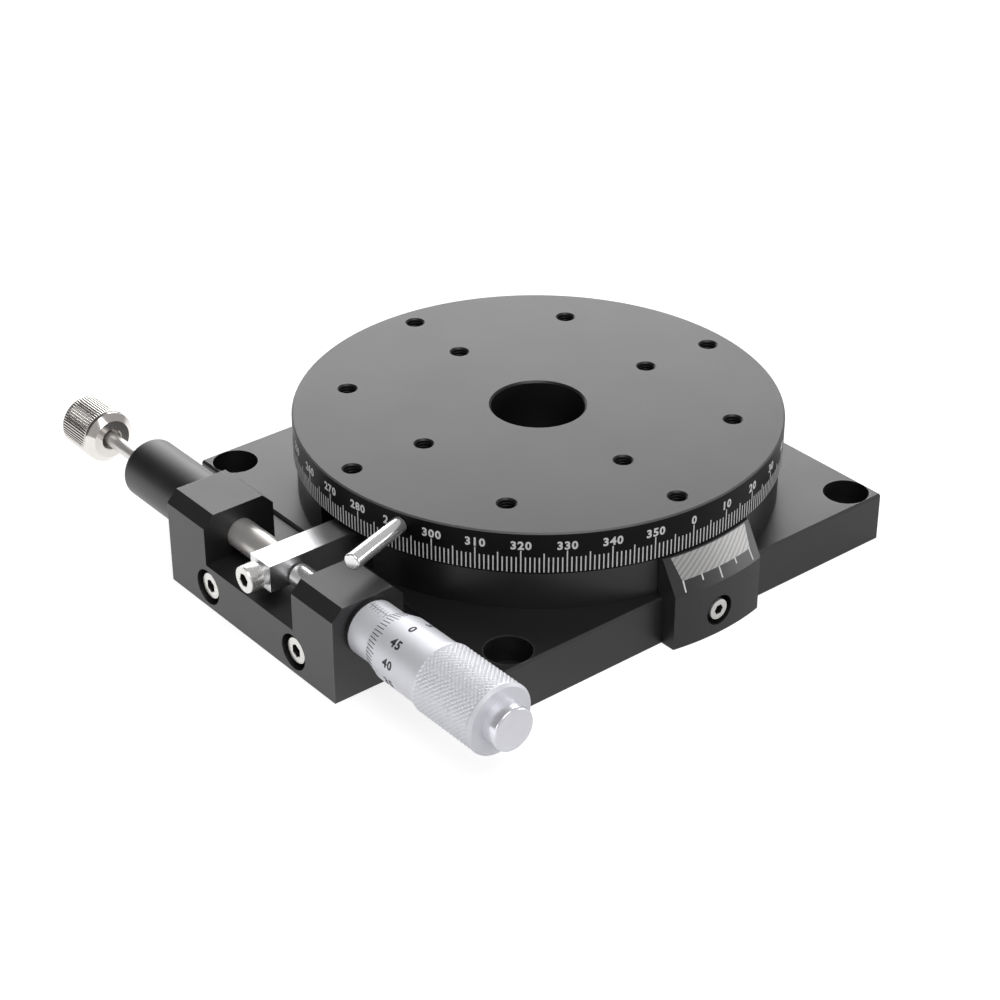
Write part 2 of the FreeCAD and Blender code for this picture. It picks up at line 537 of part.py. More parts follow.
def pad(body, sketch, length, both_ways=False):
    """Block of a sketch's outline."""
    block = body.newObject("PartDesign::Pad", "Pad")
    block.Profile = sketch
    block.Midplane = both_ways
    block.setExpression("Length", formula(length))
    doc.recompute()
    return block


def turned(label, spots):
    """Piece turned round the rotation axis, from spots of radius and height."""
    body = doc.addObject("PartDesign::Body", label)
    sketch = outline(body, "XZ_Plane", spots)
    turn = body.newObject("PartDesign::Revolution", "Revolution")
    turn.Profile = sketch
    turn.ReferenceAxis = (sketch, ["V_Axis"])
    turn.Angle = 360
    doc.recompute()
    return body


def turned_along_x(label, spots):
    """Piece turned round the X axis, from spots of place along X and radius."""
    body = doc.addObject("PartDesign::Body", label)
    sketch = outline(body, "XY_Plane", spots)
    turn = body.newObject("PartDesign::Revolution", "Revolution")
    turn.Profile = sketch
    turn.ReferenceAxis = (sketch, ["H_Axis"])
    turn.Angle = 360
    doc.recompute()
    return body


def on_drive_line(label, spots):
    """Piece turned round the micrometer's line."""
    body = turned_along_x(label, spots)
    place(body, y="drive_line", z="drive_level")
    return body


def edges_where(feature, test):
    """Names of a feature's edges that pass a test."""
    edges = enumerate(feature.Shape.Edges, start=1)
    return ["Edge%d" % number for number, edge in edges if test(edge)]


def circle_test(radius, axis, place_on_axis):
    """Test for a round edge of one radius at one place along an axis."""
    def test(edge):
        curve = edge.Curve
        if not isinstance(curve, Part.Circle):
            return False
        there = [curve.Center.x, curve.Center.y, curve.Center.z][axis]
        return abs(curve.Radius - radius) < 0.001 and abs(there - place_on_axis) < 0.001
    return test


def ease_edges(body, kind, names, amount):
    """Chamfer or fillet on named edges of a body's last feature."""
    if not names:
        raise RuntimeError("no edge to ease on %s" % body.Label)
    base = body.Tip
    feature = body.newObject("PartDesign::" + kind, kind)
    feature.Base = (base, names)
    feature.setExpression("Size" if kind == "Chamfer" else "Radius", formula(amount))
    doc.recompute()
    return feature


def cylinder(label, radius, height):
    """Part cylinder with its sizes bound to the sheet."""
    rod = doc.addObject("Part::Cylinder", label)
    rod.setExpression("Radius", formula(radius))
    rod.setExpression("Height", formula(height))
    return rod


def hexagon(label, across, deep):
    """Part prism for a hexagon socket, across its flats."""
    prism = doc.addObject("Part::Prism", label)
    prism.Polygon = 6
    prism.setExpression("Circumradius", formula(across) + " / sqrt(3)")
    prism.setExpression("Height", formula(deep))
    return prism


def cap_screw(label, kind, length):
    """Socket head screw: its head stands on the XY plane and its shank hangs below."""
    head = cylinder(label + "_head", kind + "_head", kind + "_head_high")
    shank = cylinder(label + "_shank", kind + "_shank", length)
    place(shank, z="-" + length)
    whole = doc.addObject("Part::Fuse", label + "_blank")
    whole.Base = head
    whole.Tool = shank
    socket = hexagon(label + "_hexagon", kind + "_socket", kind + "_socket_deep")
    place(socket, z="Dim.%s_head_high - Dim.%s_socket_deep" % (kind, kind))
    screw = doc.addObject("Part::Cut", label)
    screw.Base = whole
    screw.Tool = socket
    return screw


def group(label, pieces):
    """Equal pieces as separate solids of one node."""
    bundle = doc.addObject("Part::Compound", label + "_group")
    bundle.Links = pieces
    return keep(bundle, label)


# Base plate
def make_base_plate():
    """Square plate with the bearing's seat and the threads for what is screwed to it."""
    body = doc.addObject("PartDesign::Body", "base_plate")
    square = [(x + "plate_half", y + "plate_half") for x, y in CORNERS]
    pad(body, outline(body, "XY_Plane", square), "plate_high")

    def corner_or_top(edge):
        low, high = edge.BoundBox.ZMin, edge.BoundBox.ZMax
        return low > size("plate_high") - 0.001 or high - low > size("plate_high") - 0.001
    ease_edges(body, "Chamfer", edges_where(body.Tip, corner_or_top), "plate_edge")

    seat = [("0", "lip_top"), ("race_seat", "lip_top"), ("race_seat", "floor_top"), ("0", "floor_top")]
    groove(body, outline(body, "XZ_Plane", seat))
    cut(body, circles(body, "XY_Plane", [("0", "0")], "lip_bore"), outward=True)
    mounts = [(x + "mount_reach", y + "mount_reach") for x, y in CORNERS]
    cut(body, circles(body, "XY_Plane", mounts, "mount_hole"), outward=True)
    cut(body, circles(body, "XY_Plane", mounts, "mount_sink", "plate_high"), "mount_sink_deep")
    screws = [(x + "housing_reach", y + "housing_reach") for x, y in CORNERS]
    cut(body, circles(body, "XY_Plane", screws, "slim_pass"), outward=True)
    cut(body, circles(body, "XY_Plane", screws, "slim_sink"), "slim_sink_deep", outward=True)

    taps = [("screw_left", "bracket_screw_level"), ("screw_right", "bracket_screw_level")]
    cut(body, circles(body, "XZ_Plane", taps, "cap_tap", "plate_half"), "bracket_tap_deep")
    dowels = [("dowel_left", "bracket_screw_level"), ("dowel_right", "bracket_screw_level")]
    cut(body, circles(body, "XZ_Plane", dowels, "dowel_seat", "plate_half"), "dowel_deep")
    tap = [("vernier_screw_shift", "side_screw_level")]
    cut(body, circles(body, "YZ_Plane", tap, "slim_tap", "plate_half"), "vernier_tap_deep")
    keep(body, "base_plate")


# Bearing
def make_race(label, inside, outside):
    """One race of the bearing, with its ball groove."""
    body = turned(label, [(inside, "lip_top"), (outside, "lip_top"),
                          (outside, "plate_high"), (inside, "plate_high")])
    groove(body, circles(body, "XZ_Plane", [("ball_circle", "ball_level")], "groove_radius"))
    keep(body, label)


def make_balls():
    """Balls in a ring."""
    balls = []
    for number in range(int(size("ball_count"))):
        ball = doc.addObject("Part::Sphere", "ball")
        ball.setExpression("Radius", formula("ball_radius"))
        turn = "%d * 360 / Dim.ball_count" % number
        place(ball, "Dim.ball_circle * cos(%s)" % turn, "Dim.ball_circle * sin(%s)" % turn, "ball_level")
        balls.append(ball)
    group("bearing_balls", balls)


def make_cage():
    """Ring with one round pocket for each ball."""
    body = turned("ball_cage", [("cage_in", "cage_base"), ("cage_out", "cage_base"),
                                ("cage_out", "cage_top"), ("cage_in", "cage_top")])
    pocket = cut(body, circles(body, "YZ_Plane", [("0", "ball_level")], "cage_pocket"), outward=True)
    ring = body.newObject("PartDesign::PolarPattern", "PolarPattern")
    ring.Originals = [pocket]
    ring.Axis = (origin_part(body, "Z_Axis"), [""])
    ring.Angle = 360
    ring.setExpression("Occurrences", formula("ball_count"))
    body.Tip = ring
    doc.recompute()
    keep(body, "ball_cage")


# Housing under the table
def make_housing():
    """Dark ring that holds the outer race down and shields the tangent ring."""
    body = turned("bearing_housing", [
        ("outer_race_in", "plate_high"), ("housing_out", "plate_high"), ("housing_out", "housing_top"),
        ("housing_in", "housing_top"), ("housing_in", "floor_top"), ("outer_race_in", "floor_top")])
    window = [("-window_half", "floor_top"), ("window_half", "floor_top"),
              ("window_half", "disk_top"), ("-window_half", "disk_top")]
    cut(body, outline(body, "XZ_Plane", window), outward=True)
    screws = [(x + "housing_reach", y + "housing_reach") for x, y in CORNERS]
    taps = circles(body, "XY_Plane", screws, "slim_tap", "plate_high")
    cut(body, taps, "housing_tap_deep", outward=True)
    keep(body, "bearing_housing")


def make_housing_screws():
    """Four screws from below that hold the housing on the base plate."""
    screws = []
    for x, y in CORNERS:
        screw = cap_screw("housing_screw", "slim", "slim_long")
        place(screw, x + "housing_reach", y + "housing_reach", "slim_sink_deep", (1, 0, 0), "180")
        screws.append(screw)
    group("housing_screws", screws)


# Table
def make_rotary_table():
    """Graduated disk with its hub, tapped holes and the lock pin's hole."""
    body = turned("table_blank", [
        ("centre_bore", "foot_gap"), ("neck_radius", "foot_gap"), ("neck_radius", "lip_top"),
        ("hub_radius", "lip_top"), ("hub_radius", "plate_high"), ("inner_race_out", "plate_high"),
        ("inner_race_out", "disk_base"), ("recess_in", "disk_base"), ("recess_in", "recess_top"),
        ("recess_out", "recess_top"), ("recess_out", "disk_base"), ("rim_in", "disk_base"),
        ("disk_radius", "rim_base"), ("disk_radius", "rim_top"), ("rim_in", "disk_top"),
        ("bore_rim", "disk_top"), ("centre_bore", "bore_rim_foot")])
    spots = []
    for distance in ("inner_holes", "outer_holes"):
        spots += [(distance, "0"), ("0", distance), ("-" + distance, "0"), ("0", "-" + distance)]
    spots += [(x + "inner_holes", y + "inner_holes") for x, y in CORNERS]
    cut(body, circles(body, "XY_Plane", spots, "table_hole", "disk_top"), "table_hole_deep")
    mouths = edges_where(body.Tip, circle_test(size("table_hole"), 2, size("disk_top")))
    ease_edges(body, "Chamfer", mouths, "table_hole_edge")
    place(body, angle="rest_angle")

    drill = turned_along_x("lock_drill", [("lock_bore_start", "0"), ("lock_bore_end", "0"),
                                          ("lock_bore_end", "lock_bore"), ("lock_bore_start", "lock_bore")])
    place(drill, z="lock_level", angle="lock_azimuth")
    table = doc.addObject("Part::Cut", "rotary_table_cut")
    table.Base = body
    table.Tool = drill
    keep(table, "rotary_table")


def make_hub_nut():
    """Ring nut that clamps the inner race on the hub."""
    body = turned("hub_nut", [("nut_bore", "foot_gap"), ("nut_radius", "foot_gap"),
                              ("nut_radius", "lip_top"), ("nut_bore", "lip_top")])
    spots = [("0", "notch_reach"), ("0", "-notch_reach"), ("notch_reach", "0"), ("-notch_reach", "0")]
    cut(body, circles(body, "XY_Plane", spots, "notch_radius"), outward=True)
    keep(body, "hub_nut")


# Tangent ring and arm
def make_tangent_ring():
    """Ring round the hub that carries the arm and the collar that the table is clamped to."""
    body = turned("tangent_ring", [
        ("ring_in", "arm_base"), ("ring_out", "arm_base"), ("ring_out", "arm_top"),
        ("collar_out", "arm_top"), ("collar_out", "collar_top"), ("collar_in", "collar_top"),
        ("collar_in", "arm_top"), ("ring_in", "arm_top")])
    slot = [("-slot_half", "slot_tip"), ("slot_half", "slot_tip"),
            ("slot_half", "slot_mouth"), ("-slot_half", "slot_mouth")]
    cut(body, outline(body, "XY_Plane", slot, "arm_top"), "tongue_high")
    taps = [("0", "fix_near"), ("0", "fix_far")]
    cut(body, circles(body, "XY_Plane", taps, "fix_tap", "tongue_base"), "tongue_high")
    keep(body, "tangent_ring")


def make_ring_washer():
    """Flat washer that the tangent ring slides on."""
    keep(turned("ring_washer", [("washer_in", "floor_top"), ("washer_out", "floor_top"),
                                ("washer_out", "washer_top"), ("washer_in", "washer_top")]), "ring_washer")


def make_tangent_arm():
    """Bright bar with a tongue in the ring and a threaded outer end."""
    body = doc.addObject("PartDesign::Body", "tangent_arm")
    side = [("arm_tip", "arm_base"), ("arm_root", "arm_base"), ("arm_root", "tongue_base"),
            ("tongue_tip", "tongue_base"), ("tongue_tip", "arm_top"), ("arm_tip", "arm_top")]
    pad(body, outline(body, "YZ_Plane", side), "arm_wide", both_ways=True)
    spots = [("0", "fix_near"), ("0", "fix_far")]
    cut(body, circles(body, "XY_Plane", spots, "fix_shank", "arm_top"), "tongue_high")
    mouths = edges_where(body.Tip, circle_test(size("fix_shank"), 2, size("arm_top")))
    ease_edges(body, "Chamfer", mouths, "fix_sink")
    cut(body, circles(body, "XZ_Plane", [("0", "arm_middle")], "cap_tap", "arm_reach"), "end_tap_deep")
    keep(body, "tangent_arm")


def make_arm_fixing_screws():
    """Two countersunk screws through the tongue."""
    screws = []
    for spot in ("fix_near", "fix_far"):
        blank = turned("fixing_screw_blank", [
            ("0", "0"), ("fix_head", "0"), ("fix_shank", "fix_sink_foot"),
            ("fix_shank", "fix_tip"), ("0", "fix_tip")])
        socket = hexagon("fixing_screw_hexagon", "fix_socket", "fix_socket_deep")
        place(socket, z="-fix_socket_deep")
        screw = doc.addObject("Part::Cut", "fixing_screw")
        screw.Base = blank
        screw.Tool = socket
        place(screw, "0", spot, "arm_top")
        screws.append(screw)
    group("arm_fixing_screws", screws)


def make_arm_end():
    """Screw and washer in the arm's outer end."""
    screw = cap_screw("end_screw", "cap", "end_screw_long")
    place(screw, "0", "end_screw_seat", "arm_middle", (1, 0, 0), "90")
    keep(screw, "arm_end_screw")
    washer = turned("end_washer", [
        ("end_washer_bore", "0"), ("end_washer_radius", "0"),
        ("end_washer_radius", "end_washer_thick"), ("end_washer_bore", "end_washer_thick")])
    place(washer, "0", "arm_tip", "arm_middle", (1, 0, 0), "90")
    keep(washer, "arm_end_washer")


# Lock pin
def make_lock_pin():
    """Pin that screws into the rim with a slim neck, and the pad that it presses on the collar."""
    pin = turned_along_x("lock_pin", [
        ("pin_nose", "0"), ("pin_end", "0"), ("pin_end", "pin_tip"), ("pin_neck_end", "pin_root"),
        ("pin_neck_end", "pin_neck"), ("pin_neck_start", "pin_neck"),
        ("pin_neck_start", "pin_thread"), ("pin_nose", "pin_thread")])
    tip = edges_where(pin.Tip, circle_test(size("pin_tip"), 0, size("pin_end")))
    ease_edges(pin, "Fillet", tip, "pin_round")
    place(pin, z="lock_level", angle="lock_azimuth")
    keep(pin, "lock_pin")
    pad_piece = turned_along_x("brake_pad", [("pad_start", "0"), ("pad_end", "0"),
                                             ("pad_end", "pad_radius"), ("pad_start", "pad_radius")])
    place(pad_piece, z="lock_level", angle="lock_azimuth")
    keep(pad_piece, "brake_pad")


# Drive bracket
def make_drive_bracket():
    """Block with two lugs for the micrometer and the plunger."""
    body = doc.addObject("PartDesign::Body", "drive_bracket")
    side = [("bracket_face", "0"), ("bracket_face", "lug_edge_foot"), ("bracket_edge", "lug_top"),
            ("lug_back_edge", "lug_top"), ("lug_back", "lug_edge_foot"), ("lug_back", "shelf_top"),
            ("-plate_half", "shelf_top"), ("-plate_half", "0")]
    pad(body, outline(body, "YZ_Plane", side, "lug_left_out"), "bracket_long")
    gap = [("lug_left_in", "shelf_top"), ("lug_right_in", "shelf_top"),
           ("lug_right_in", "gap_top"), ("lug_left_in", "gap_top")]
    cut(body, outline(body, "XZ_Plane", gap), outward=True)

    screws = [("screw_left", "bracket_screw_level"), ("screw_right", "bracket_screw_level")]
    cut(body, circles(body, "XZ_Plane", screws, "cap_pass", "bracket_front"), "bracket_pass_deep")
    cut(body, circles(body, "XZ_Plane", screws, "bracket_sink", "bracket_front"), "bracket_sink_deep")
    dowels = [("dowel_left", "bracket_screw_level"), ("dowel_right", "bracket_screw_level")]
    cut(body, circles(body, "XZ_Plane", dowels, "dowel_seat", "plate_half"), "dowel_deep", outward=True)

    line = [("drive_line", "drive_level")]
    cut(body, circles(body, "YZ_Plane", line, "stem_bore", "lug_right_out"), "lug_cut")
    cut(body, circles(body, "YZ_Plane", line, "rod_bore", "lug_left_in"), "lug_cut")
    cut(body, circles(body, "YZ_Plane", line, "bush_seat", "bush_face"), "lug_cut")
    cut(body, circles(body, "YZ_Plane", line, "spigot_seat", "spigot_end"), "lug_cut")
    clamp = circles(body, "XY_Plane", [("clamp_place", "drive_line")], "cap_tap")
    cut(body, clamp, "drive_level", outward=True)
    keep(body, "drive_bracket")


def make_bracket_fasteners():
    """Two screws and two dowels between the bracket and the base plate."""
    screws = []
    dowels = []
    for side in ("left", "right"):
        screw = cap_screw("bracket_screw", "cap", "bracket_screw_long")
        place(screw, "screw_" + side, "bracket_seat", "bracket_screw_level", (1, 0, 0), "90")
        screws.append(screw)
        dowel = cylinder("dowel", "dowel_radius", "dowel_long")
        place(dowel, "dowel_" + side, "dowel_start", "bracket_screw_level", (1, 0, 0), "-90")
        dowels.append(dowel)
    group("bracket_screws", screws)
    group("bracket_dowels", dowels)


# Micrometer
def make_micrometer_body():
    """What of the micrometer stays still: black ring, sleeve, backlash nut and set screw."""
    flange = on_drive_line("micrometer_flange", [
        ("lug_right_out", "stem_bore"), ("flange_end", "stem_bore"),
        ("flange_end", "flange_radius"), ("lug_right_out", "flange_radius")])
    keep(flange, "micrometer_flange")
    sleeve = on_drive_line("micrometer_sleeve", [
        ("stem_start", "spindle_bore"), ("sleeve_end", "spindle_bore"), ("sleeve_end", "sleeve_thread"),
        ("backlash_start", "sleeve_thread"), ("backlash_start", "sleeve_slim"),
        ("sleeve_full", "sleeve_slim"), ("sleeve_full", "sleeve_radius"), ("flange_end", "sleeve_radius"),
        ("flange_end", "stem_radius"), ("stem_start", "stem_radius")])
    keep(sleeve, "micrometer_sleeve")
    nut = on_drive_line("backlash_nut", [
        ("backlash_start", "backlash_bore"), ("backlash_end", "backlash_bore"),
        ("backlash_end", "backlash_radius"), ("backlash_start", "backlash_radius")])
    keep(nut, "backlash_nut")
    rod = cylinder("set_screw_rod", "cap_shank", "clamp_long")
    socket = hexagon("set_screw_hexagon", "cap_shank", "cap_socket_deep")
    screw = doc.addObject("Part::Cut", "set_screw")
    screw.Base = rod
    screw.Tool = socket
    place(screw, "clamp_place", "drive_line", "Dim.clamp_top - Dim.clamp_long")
    keep(screw, "micrometer_set_screw")


def make_spindle():
    """Polished spindle with a low crowned nose and a slim tail in the thimble."""
    body = on_drive_line("spindle", [
        ("spindle_tip", "0"), ("tail_end", "0"), ("tail_end", "tail_radius"),
        ("spindle_end", "tail_radius"), ("spindle_end", "spindle_radius"),
        ("spindle_nose_end", "spindle_radius"), ("spindle_crown_end", "spindle_crown"),
        ("spindle_tip", "spindle_flat")])
    keep(body, "spindle")


def make_thimble():
    """Thimble with its graduated cone and grip, and the cap nut on its end."""
    body = on_drive_line("thimble", [
        ("thimble_front", "thimble_bore"), ("thimble_front", "thimble_nose"), ("cone_end", "thimble_radius"),
        ("barrel_end", "thimble_radius"), ("grip_start", "grip_radius"), ("grip_edge_start", "grip_radius"),
        ("thimble_end", "thimble_radius"), ("thimble_end", "tail_bore"), ("thimble_wall", "tail_bore"),
        ("thimble_wall", "thimble_bore")])
    keep(body, "thimble")
    cap = on_drive_line("thimble_cap", [
        ("thimble_end", "tail_bore"), ("thimble_end", "cap_radius"), ("cap_end", "cap_radius"),
        ("cap_end", "0"), ("cap_bore_end", "0"), ("cap_bore_end", "tail_bore")])
    rim = edges_where(cap.Tip, circle_test(size("cap_radius"), 0, size("cap_end")))
    ease_edges(cap, "Fillet", rim, "cap_edge")
    keep(cap, "thimble_cap")


# Plunger
def make_plunger():
    """Spring plunger on the other side of the arm: tube, bush, rod, spring, pull rod and knob."""
    tube = on_drive_line("plunger_tube", [
        ("tube_end", "pull_hole"), ("tube_wall", "pull_hole"), ("tube_wall", "tube_bore"),
        ("spigot_end", "tube_bore"), ("spigot_end", "spigot_radius"), ("lug_left_out", "spigot_radius"),
        ("lug_left_out", "tube_radius"), ("tube_end", "tube_radius")])
    rim = edges_where(tube.Tip, circle_test(size("tube_radius"), 0, size("tube_end")))
    ease_edges(tube, "Fillet", rim, "tube_round")
    keep(tube, "plunger_tube")
    bush = on_drive_line("plunger_bush", [
        ("spigot_end", "rod_bore"), ("bush_face", "rod_bore"),
        ("bush_face", "bush_radius"), ("spigot_end", "bush_radius")])
    keep(bush, "plunger_bush")
    rod = on_drive_line("plunger_rod", [
        ("rod_tip", "0"), ("pull_hole_end", "0"), ("pull_hole_end", "pull_seat"), ("head_back", "pull_seat"),
        ("head_back", "head_radius"), ("head_face", "head_radius"), ("head_face", "rod_radius"),
        ("rod_nose_end", "rod_radius"), ("rod_crown_end", "rod_crown"), ("rod_tip", "rod_flat")])
    keep(rod, "plunger_rod")
    pull = on_drive_line("pull_rod", [("pull_end", "0"), ("pull_start", "0"),
                                      ("pull_start", "pull_radius"), ("pull_end", "pull_radius")])
    keep(pull, "pull_rod")
    knob = on_drive_line("pull_knob", [
        ("knob_end", "0"), ("knob_bore_end", "0"), ("knob_bore_end", "pull_seat"),
        ("knob_recess_face", "pull_seat"), ("knob_recess_face", "knob_recess"), ("knob_face", "knob_recess"),
        ("knob_face", "knob_nose"), ("knob_bevel_end", "knob_radius"), ("knob_edge_start", "knob_radius"),
        ("knob_end", "knob_rim")])
    keep(knob, "pull_knob")


def make_spring():
    """Coil spring between the plunger's head and the tube's end."""
    body = doc.addObject("PartDesign::Body", "plunger_spring")
    wire = circles(body, "XZ_Plane", [("spring_mean", "0")], "spring_wire")
    doc.recompute()
    coil = body.newObject("PartDesign::AdditiveHelix", "Helix")
    coil.Profile = wire
    coil.ReferenceAxis = (wire, ["V_Axis"])
    coil.Mode = 0
    coil.Growth = 0
    coil.setExpression("Pitch", formula("spring_pitch"))
    coil.setExpression("Height", formula("spring_long"))
    place(body, "spring_start", "drive_line", "drive_level", (0, 1, 0), "-90")
    keep(body, "plunger_spring")


# Vernier
def make_vernier():
    """Vernier block hooked over the plate, curved in front and leaning in at its top, and its screw."""
    body = doc.addObject("PartDesign::Body", "vernier_block")
    foot = [("plate_half", "vernier_start"), ("vernier_outside", "vernier_start"),
            ("vernier_outside", "vernier_stop"), ("plate_half", "vernier_stop")]
    pad(body, outline(body, "XY_Plane", foot), "vernier_top")
    hook = [("vernier_inside", "vernier_start"), ("vernier_outside", "vernier_start"),
            ("vernier_outside", "vernier_stop"), ("vernier_inside", "vernier_stop")]
    pad(body, outline(body, "XY_Plane", hook, "plate_high"), "vernier_hook_high")
    back = [("0", "vernier_under"), ("vernier_back", "vernier_under"),
            ("vernier_back", "vernier_over"), ("0", "vernier_over")]
    groove(body, outline(body, "XZ_Plane", back))
    front = [("vernier_front", "vernier_under"), ("vernier_front", "vernier_bend"),
             ("vernier_crest", "vernier_top"), ("vernier_crest", "vernier_over"),
             ("vernier_far", "vernier_over"), ("vernier_far", "vernier_under")]
    groove(body, outline(body, "XZ_Plane", front))
    spot = [("vernier_screw_shift", "side_screw_level")]
    cut(body, circles(body, "YZ_Plane", spot, "slim_pass", "vernier_front"), "vernier_outside")
    cut(body, circles(body, "YZ_Plane", spot, "vernier_sink", "vernier_front"), "vernier_sink_deep")
    keep(body, "vernier_block")
    screw = cap_screw("side_screw", "slim", "vernier_screw_long")
    place(screw, "vernier_seat", "vernier_screw_shift", "side_screw_level", (0, 1, 0), "90")
    keep(screw, "vernier_screw")


make_base_plate()
make_race("outer_race", "outer_race_in", "bearing_outer")
make_race("inner_race", "bearing_bore", "inner_race_out")
make_balls()
make_cage()
make_housing()
make_housing_screws()
make_rotary_table()
make_hub_nut()
make_tangent_ring()
make_ring_washer()
make_tangent_arm()
make_arm_fixing_screws()
make_arm_end()
make_lock_pin()
make_drive_bracket()
make_bracket_fasteners()
make_micrometer_body()
make_spindle()
make_thimble()
make_plunger()
make_spring()
make_vernier()
doc.recompute()

# Every object has to be sound before anything is written.
for thing in doc.Objects:
    if "Invalid" in thing.State or "Error" in thing.State:
        raise RuntimeError("%s is %s" % (thing.Label, thing.State))
for node in nodes:
    if node.Shape.isNull() or not node.Shape.isValid():
        raise RuntimeError("%s has no sound shape" % node.Label)

os.makedirs(PART_FOLDER, exist_ok=True)
for node in nodes:
    node.Shape.exportStep(os.path.join(PART_FOLDER, node.Label + ".step"))
    print("%-22s %10.2f mm3, %d solids" % (node.Label, node.Shape.Volume, len(node.Shape.Solids)))
print("%d nodes" % len(nodes))
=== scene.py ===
"""Looks of a manual rotation stage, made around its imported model."""

import math
from functools import partial

import bmesh
import bpy
from bpy.props import FloatProperty, FloatVectorProperty, IntProperty, PointerProperty
from mathutils import Euler, Matrix, Vector


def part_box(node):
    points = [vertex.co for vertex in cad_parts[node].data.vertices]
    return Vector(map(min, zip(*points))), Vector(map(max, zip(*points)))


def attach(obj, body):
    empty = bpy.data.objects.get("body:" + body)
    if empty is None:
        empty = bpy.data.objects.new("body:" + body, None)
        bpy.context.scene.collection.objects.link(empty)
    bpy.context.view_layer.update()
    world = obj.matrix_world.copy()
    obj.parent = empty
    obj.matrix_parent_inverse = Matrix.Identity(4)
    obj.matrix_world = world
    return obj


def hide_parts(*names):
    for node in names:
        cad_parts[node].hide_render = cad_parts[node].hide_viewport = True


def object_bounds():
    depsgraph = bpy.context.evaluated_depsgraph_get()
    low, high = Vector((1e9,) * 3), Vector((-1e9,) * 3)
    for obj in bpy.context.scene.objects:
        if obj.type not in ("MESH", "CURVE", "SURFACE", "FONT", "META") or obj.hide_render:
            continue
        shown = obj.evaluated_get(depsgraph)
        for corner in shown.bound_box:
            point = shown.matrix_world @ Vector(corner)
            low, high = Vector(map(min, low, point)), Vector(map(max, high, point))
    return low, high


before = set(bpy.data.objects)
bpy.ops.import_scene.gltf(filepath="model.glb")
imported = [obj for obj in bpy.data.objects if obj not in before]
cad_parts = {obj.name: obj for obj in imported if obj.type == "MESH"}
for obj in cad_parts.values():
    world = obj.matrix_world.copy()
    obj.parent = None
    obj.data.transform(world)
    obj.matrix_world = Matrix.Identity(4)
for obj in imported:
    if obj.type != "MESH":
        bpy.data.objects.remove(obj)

bl_info = {
    "name": "Rotation Stage Looks",
    "version": (1, 0, 0),
    "blender": (4, 5, 0),
    "location": "3D View > Sidebar > Rotation Stage",
    "description": "Finishes, scales, knurls and screws of a manual rotation stage",
    "category": "Add Mesh",
}

MM = 0.001
CAD_LOW, CAD_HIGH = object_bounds()

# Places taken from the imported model
TABLE_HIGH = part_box("rotary_table")[1]
VERNIER_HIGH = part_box("vernier_block")[1]
FLANGE_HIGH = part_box("micrometer_flange")[1]
THIMBLE_LOW, THIMBLE_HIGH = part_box("thimble")
KNOB_LOW, KNOB_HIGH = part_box("pull_knob")
DISK_RADIUS = TABLE_HIGH.x
DISK_TOP = TABLE_HIGH.z
LINE_Y = (THIMBLE_LOW.y + THIMBLE_HIGH.y) / 2
LINE_Z = (THIMBLE_LOW.z + THIMBLE_HIGH.z) / 2

# Sockets of the colour mix node
MIX_FIRST = 6
MIX_SECOND = 7
MIX_RESULT = 2

# Soft boxes: degrees round and above the object, and metres
SOFT_BOXES = {
    "rear": {"azimuth": 148, "elevation": 22, "far": 1.15, "wide": 1.2, "high": 0.62},
    "front": {"azimuth": -95, "elevation": 16, "far": 1.1, "wide": 0.5, "high": 0.4},
    "side": {"azimuth": -20, "elevation": 62, "far": 1.3, "wide": 0.8, "high": 0.8},
    "right": {"azimuth": 54, "elevation": 9, "far": 1.2, "wide": 0.5, "high": 0.3},
}


# Sizes and colours that a user may change
def length(label, words, millimetres):
    """Length property with its default given in millimetres."""
    return FloatProperty(name=label, description=words, default=millimetres * MM, unit="LENGTH", precision=5)


def turn(label, words, degrees):
    """Angle property with its default given in degrees."""
    return FloatProperty(name=label, description=words, default=math.radians(degrees), subtype="ANGLE")


def plain(label, words, value, **more):
    """Plain number property."""
    return FloatProperty(name=label, description=words, default=value, **more)


def whole(label, words, value):
    """Whole number property."""
    return IntProperty(name=label, description=words, default=value)


def paint(label, words, colour):
    """Colour property."""
    return FloatVectorProperty(name=label, description=words, default=colour,
                               size=3, min=0, max=1, subtype="COLOR")


class RimScaleSizes(bpy.types.PropertyGroup):
    """Graduations and numerals on the table's rim."""

    zero: turn("Zero", "Azimuth of the table's zero at rest", -3.8)
    foot: length("Foot", "Lower end of the lines above the base", 23.75)
    short: length("Short line", "Height of a one degree line", 4.1)
    middle: length("Middle line", "Height of a five degree line", 5.2)
    tall: length("Tall line", "Height of a ten degree line", 5.9)
    wide: length("Line width", "Width of a line", 0.31)
    numeral_high: length("Numeral height", "Height of a numeral", 2.3)
    numeral_level: length("Numeral level", "Middle of the numerals above the base", 31.05)
    numeral_pitch: length("Numeral pitch", "Distance between the figures of a numeral", 1.75)
    clear: length("Clear", "Rim without figures on both sides of the lock pin's middle", 3.0)
    proud: length("Proud", "Filling above the rim", 0.02)


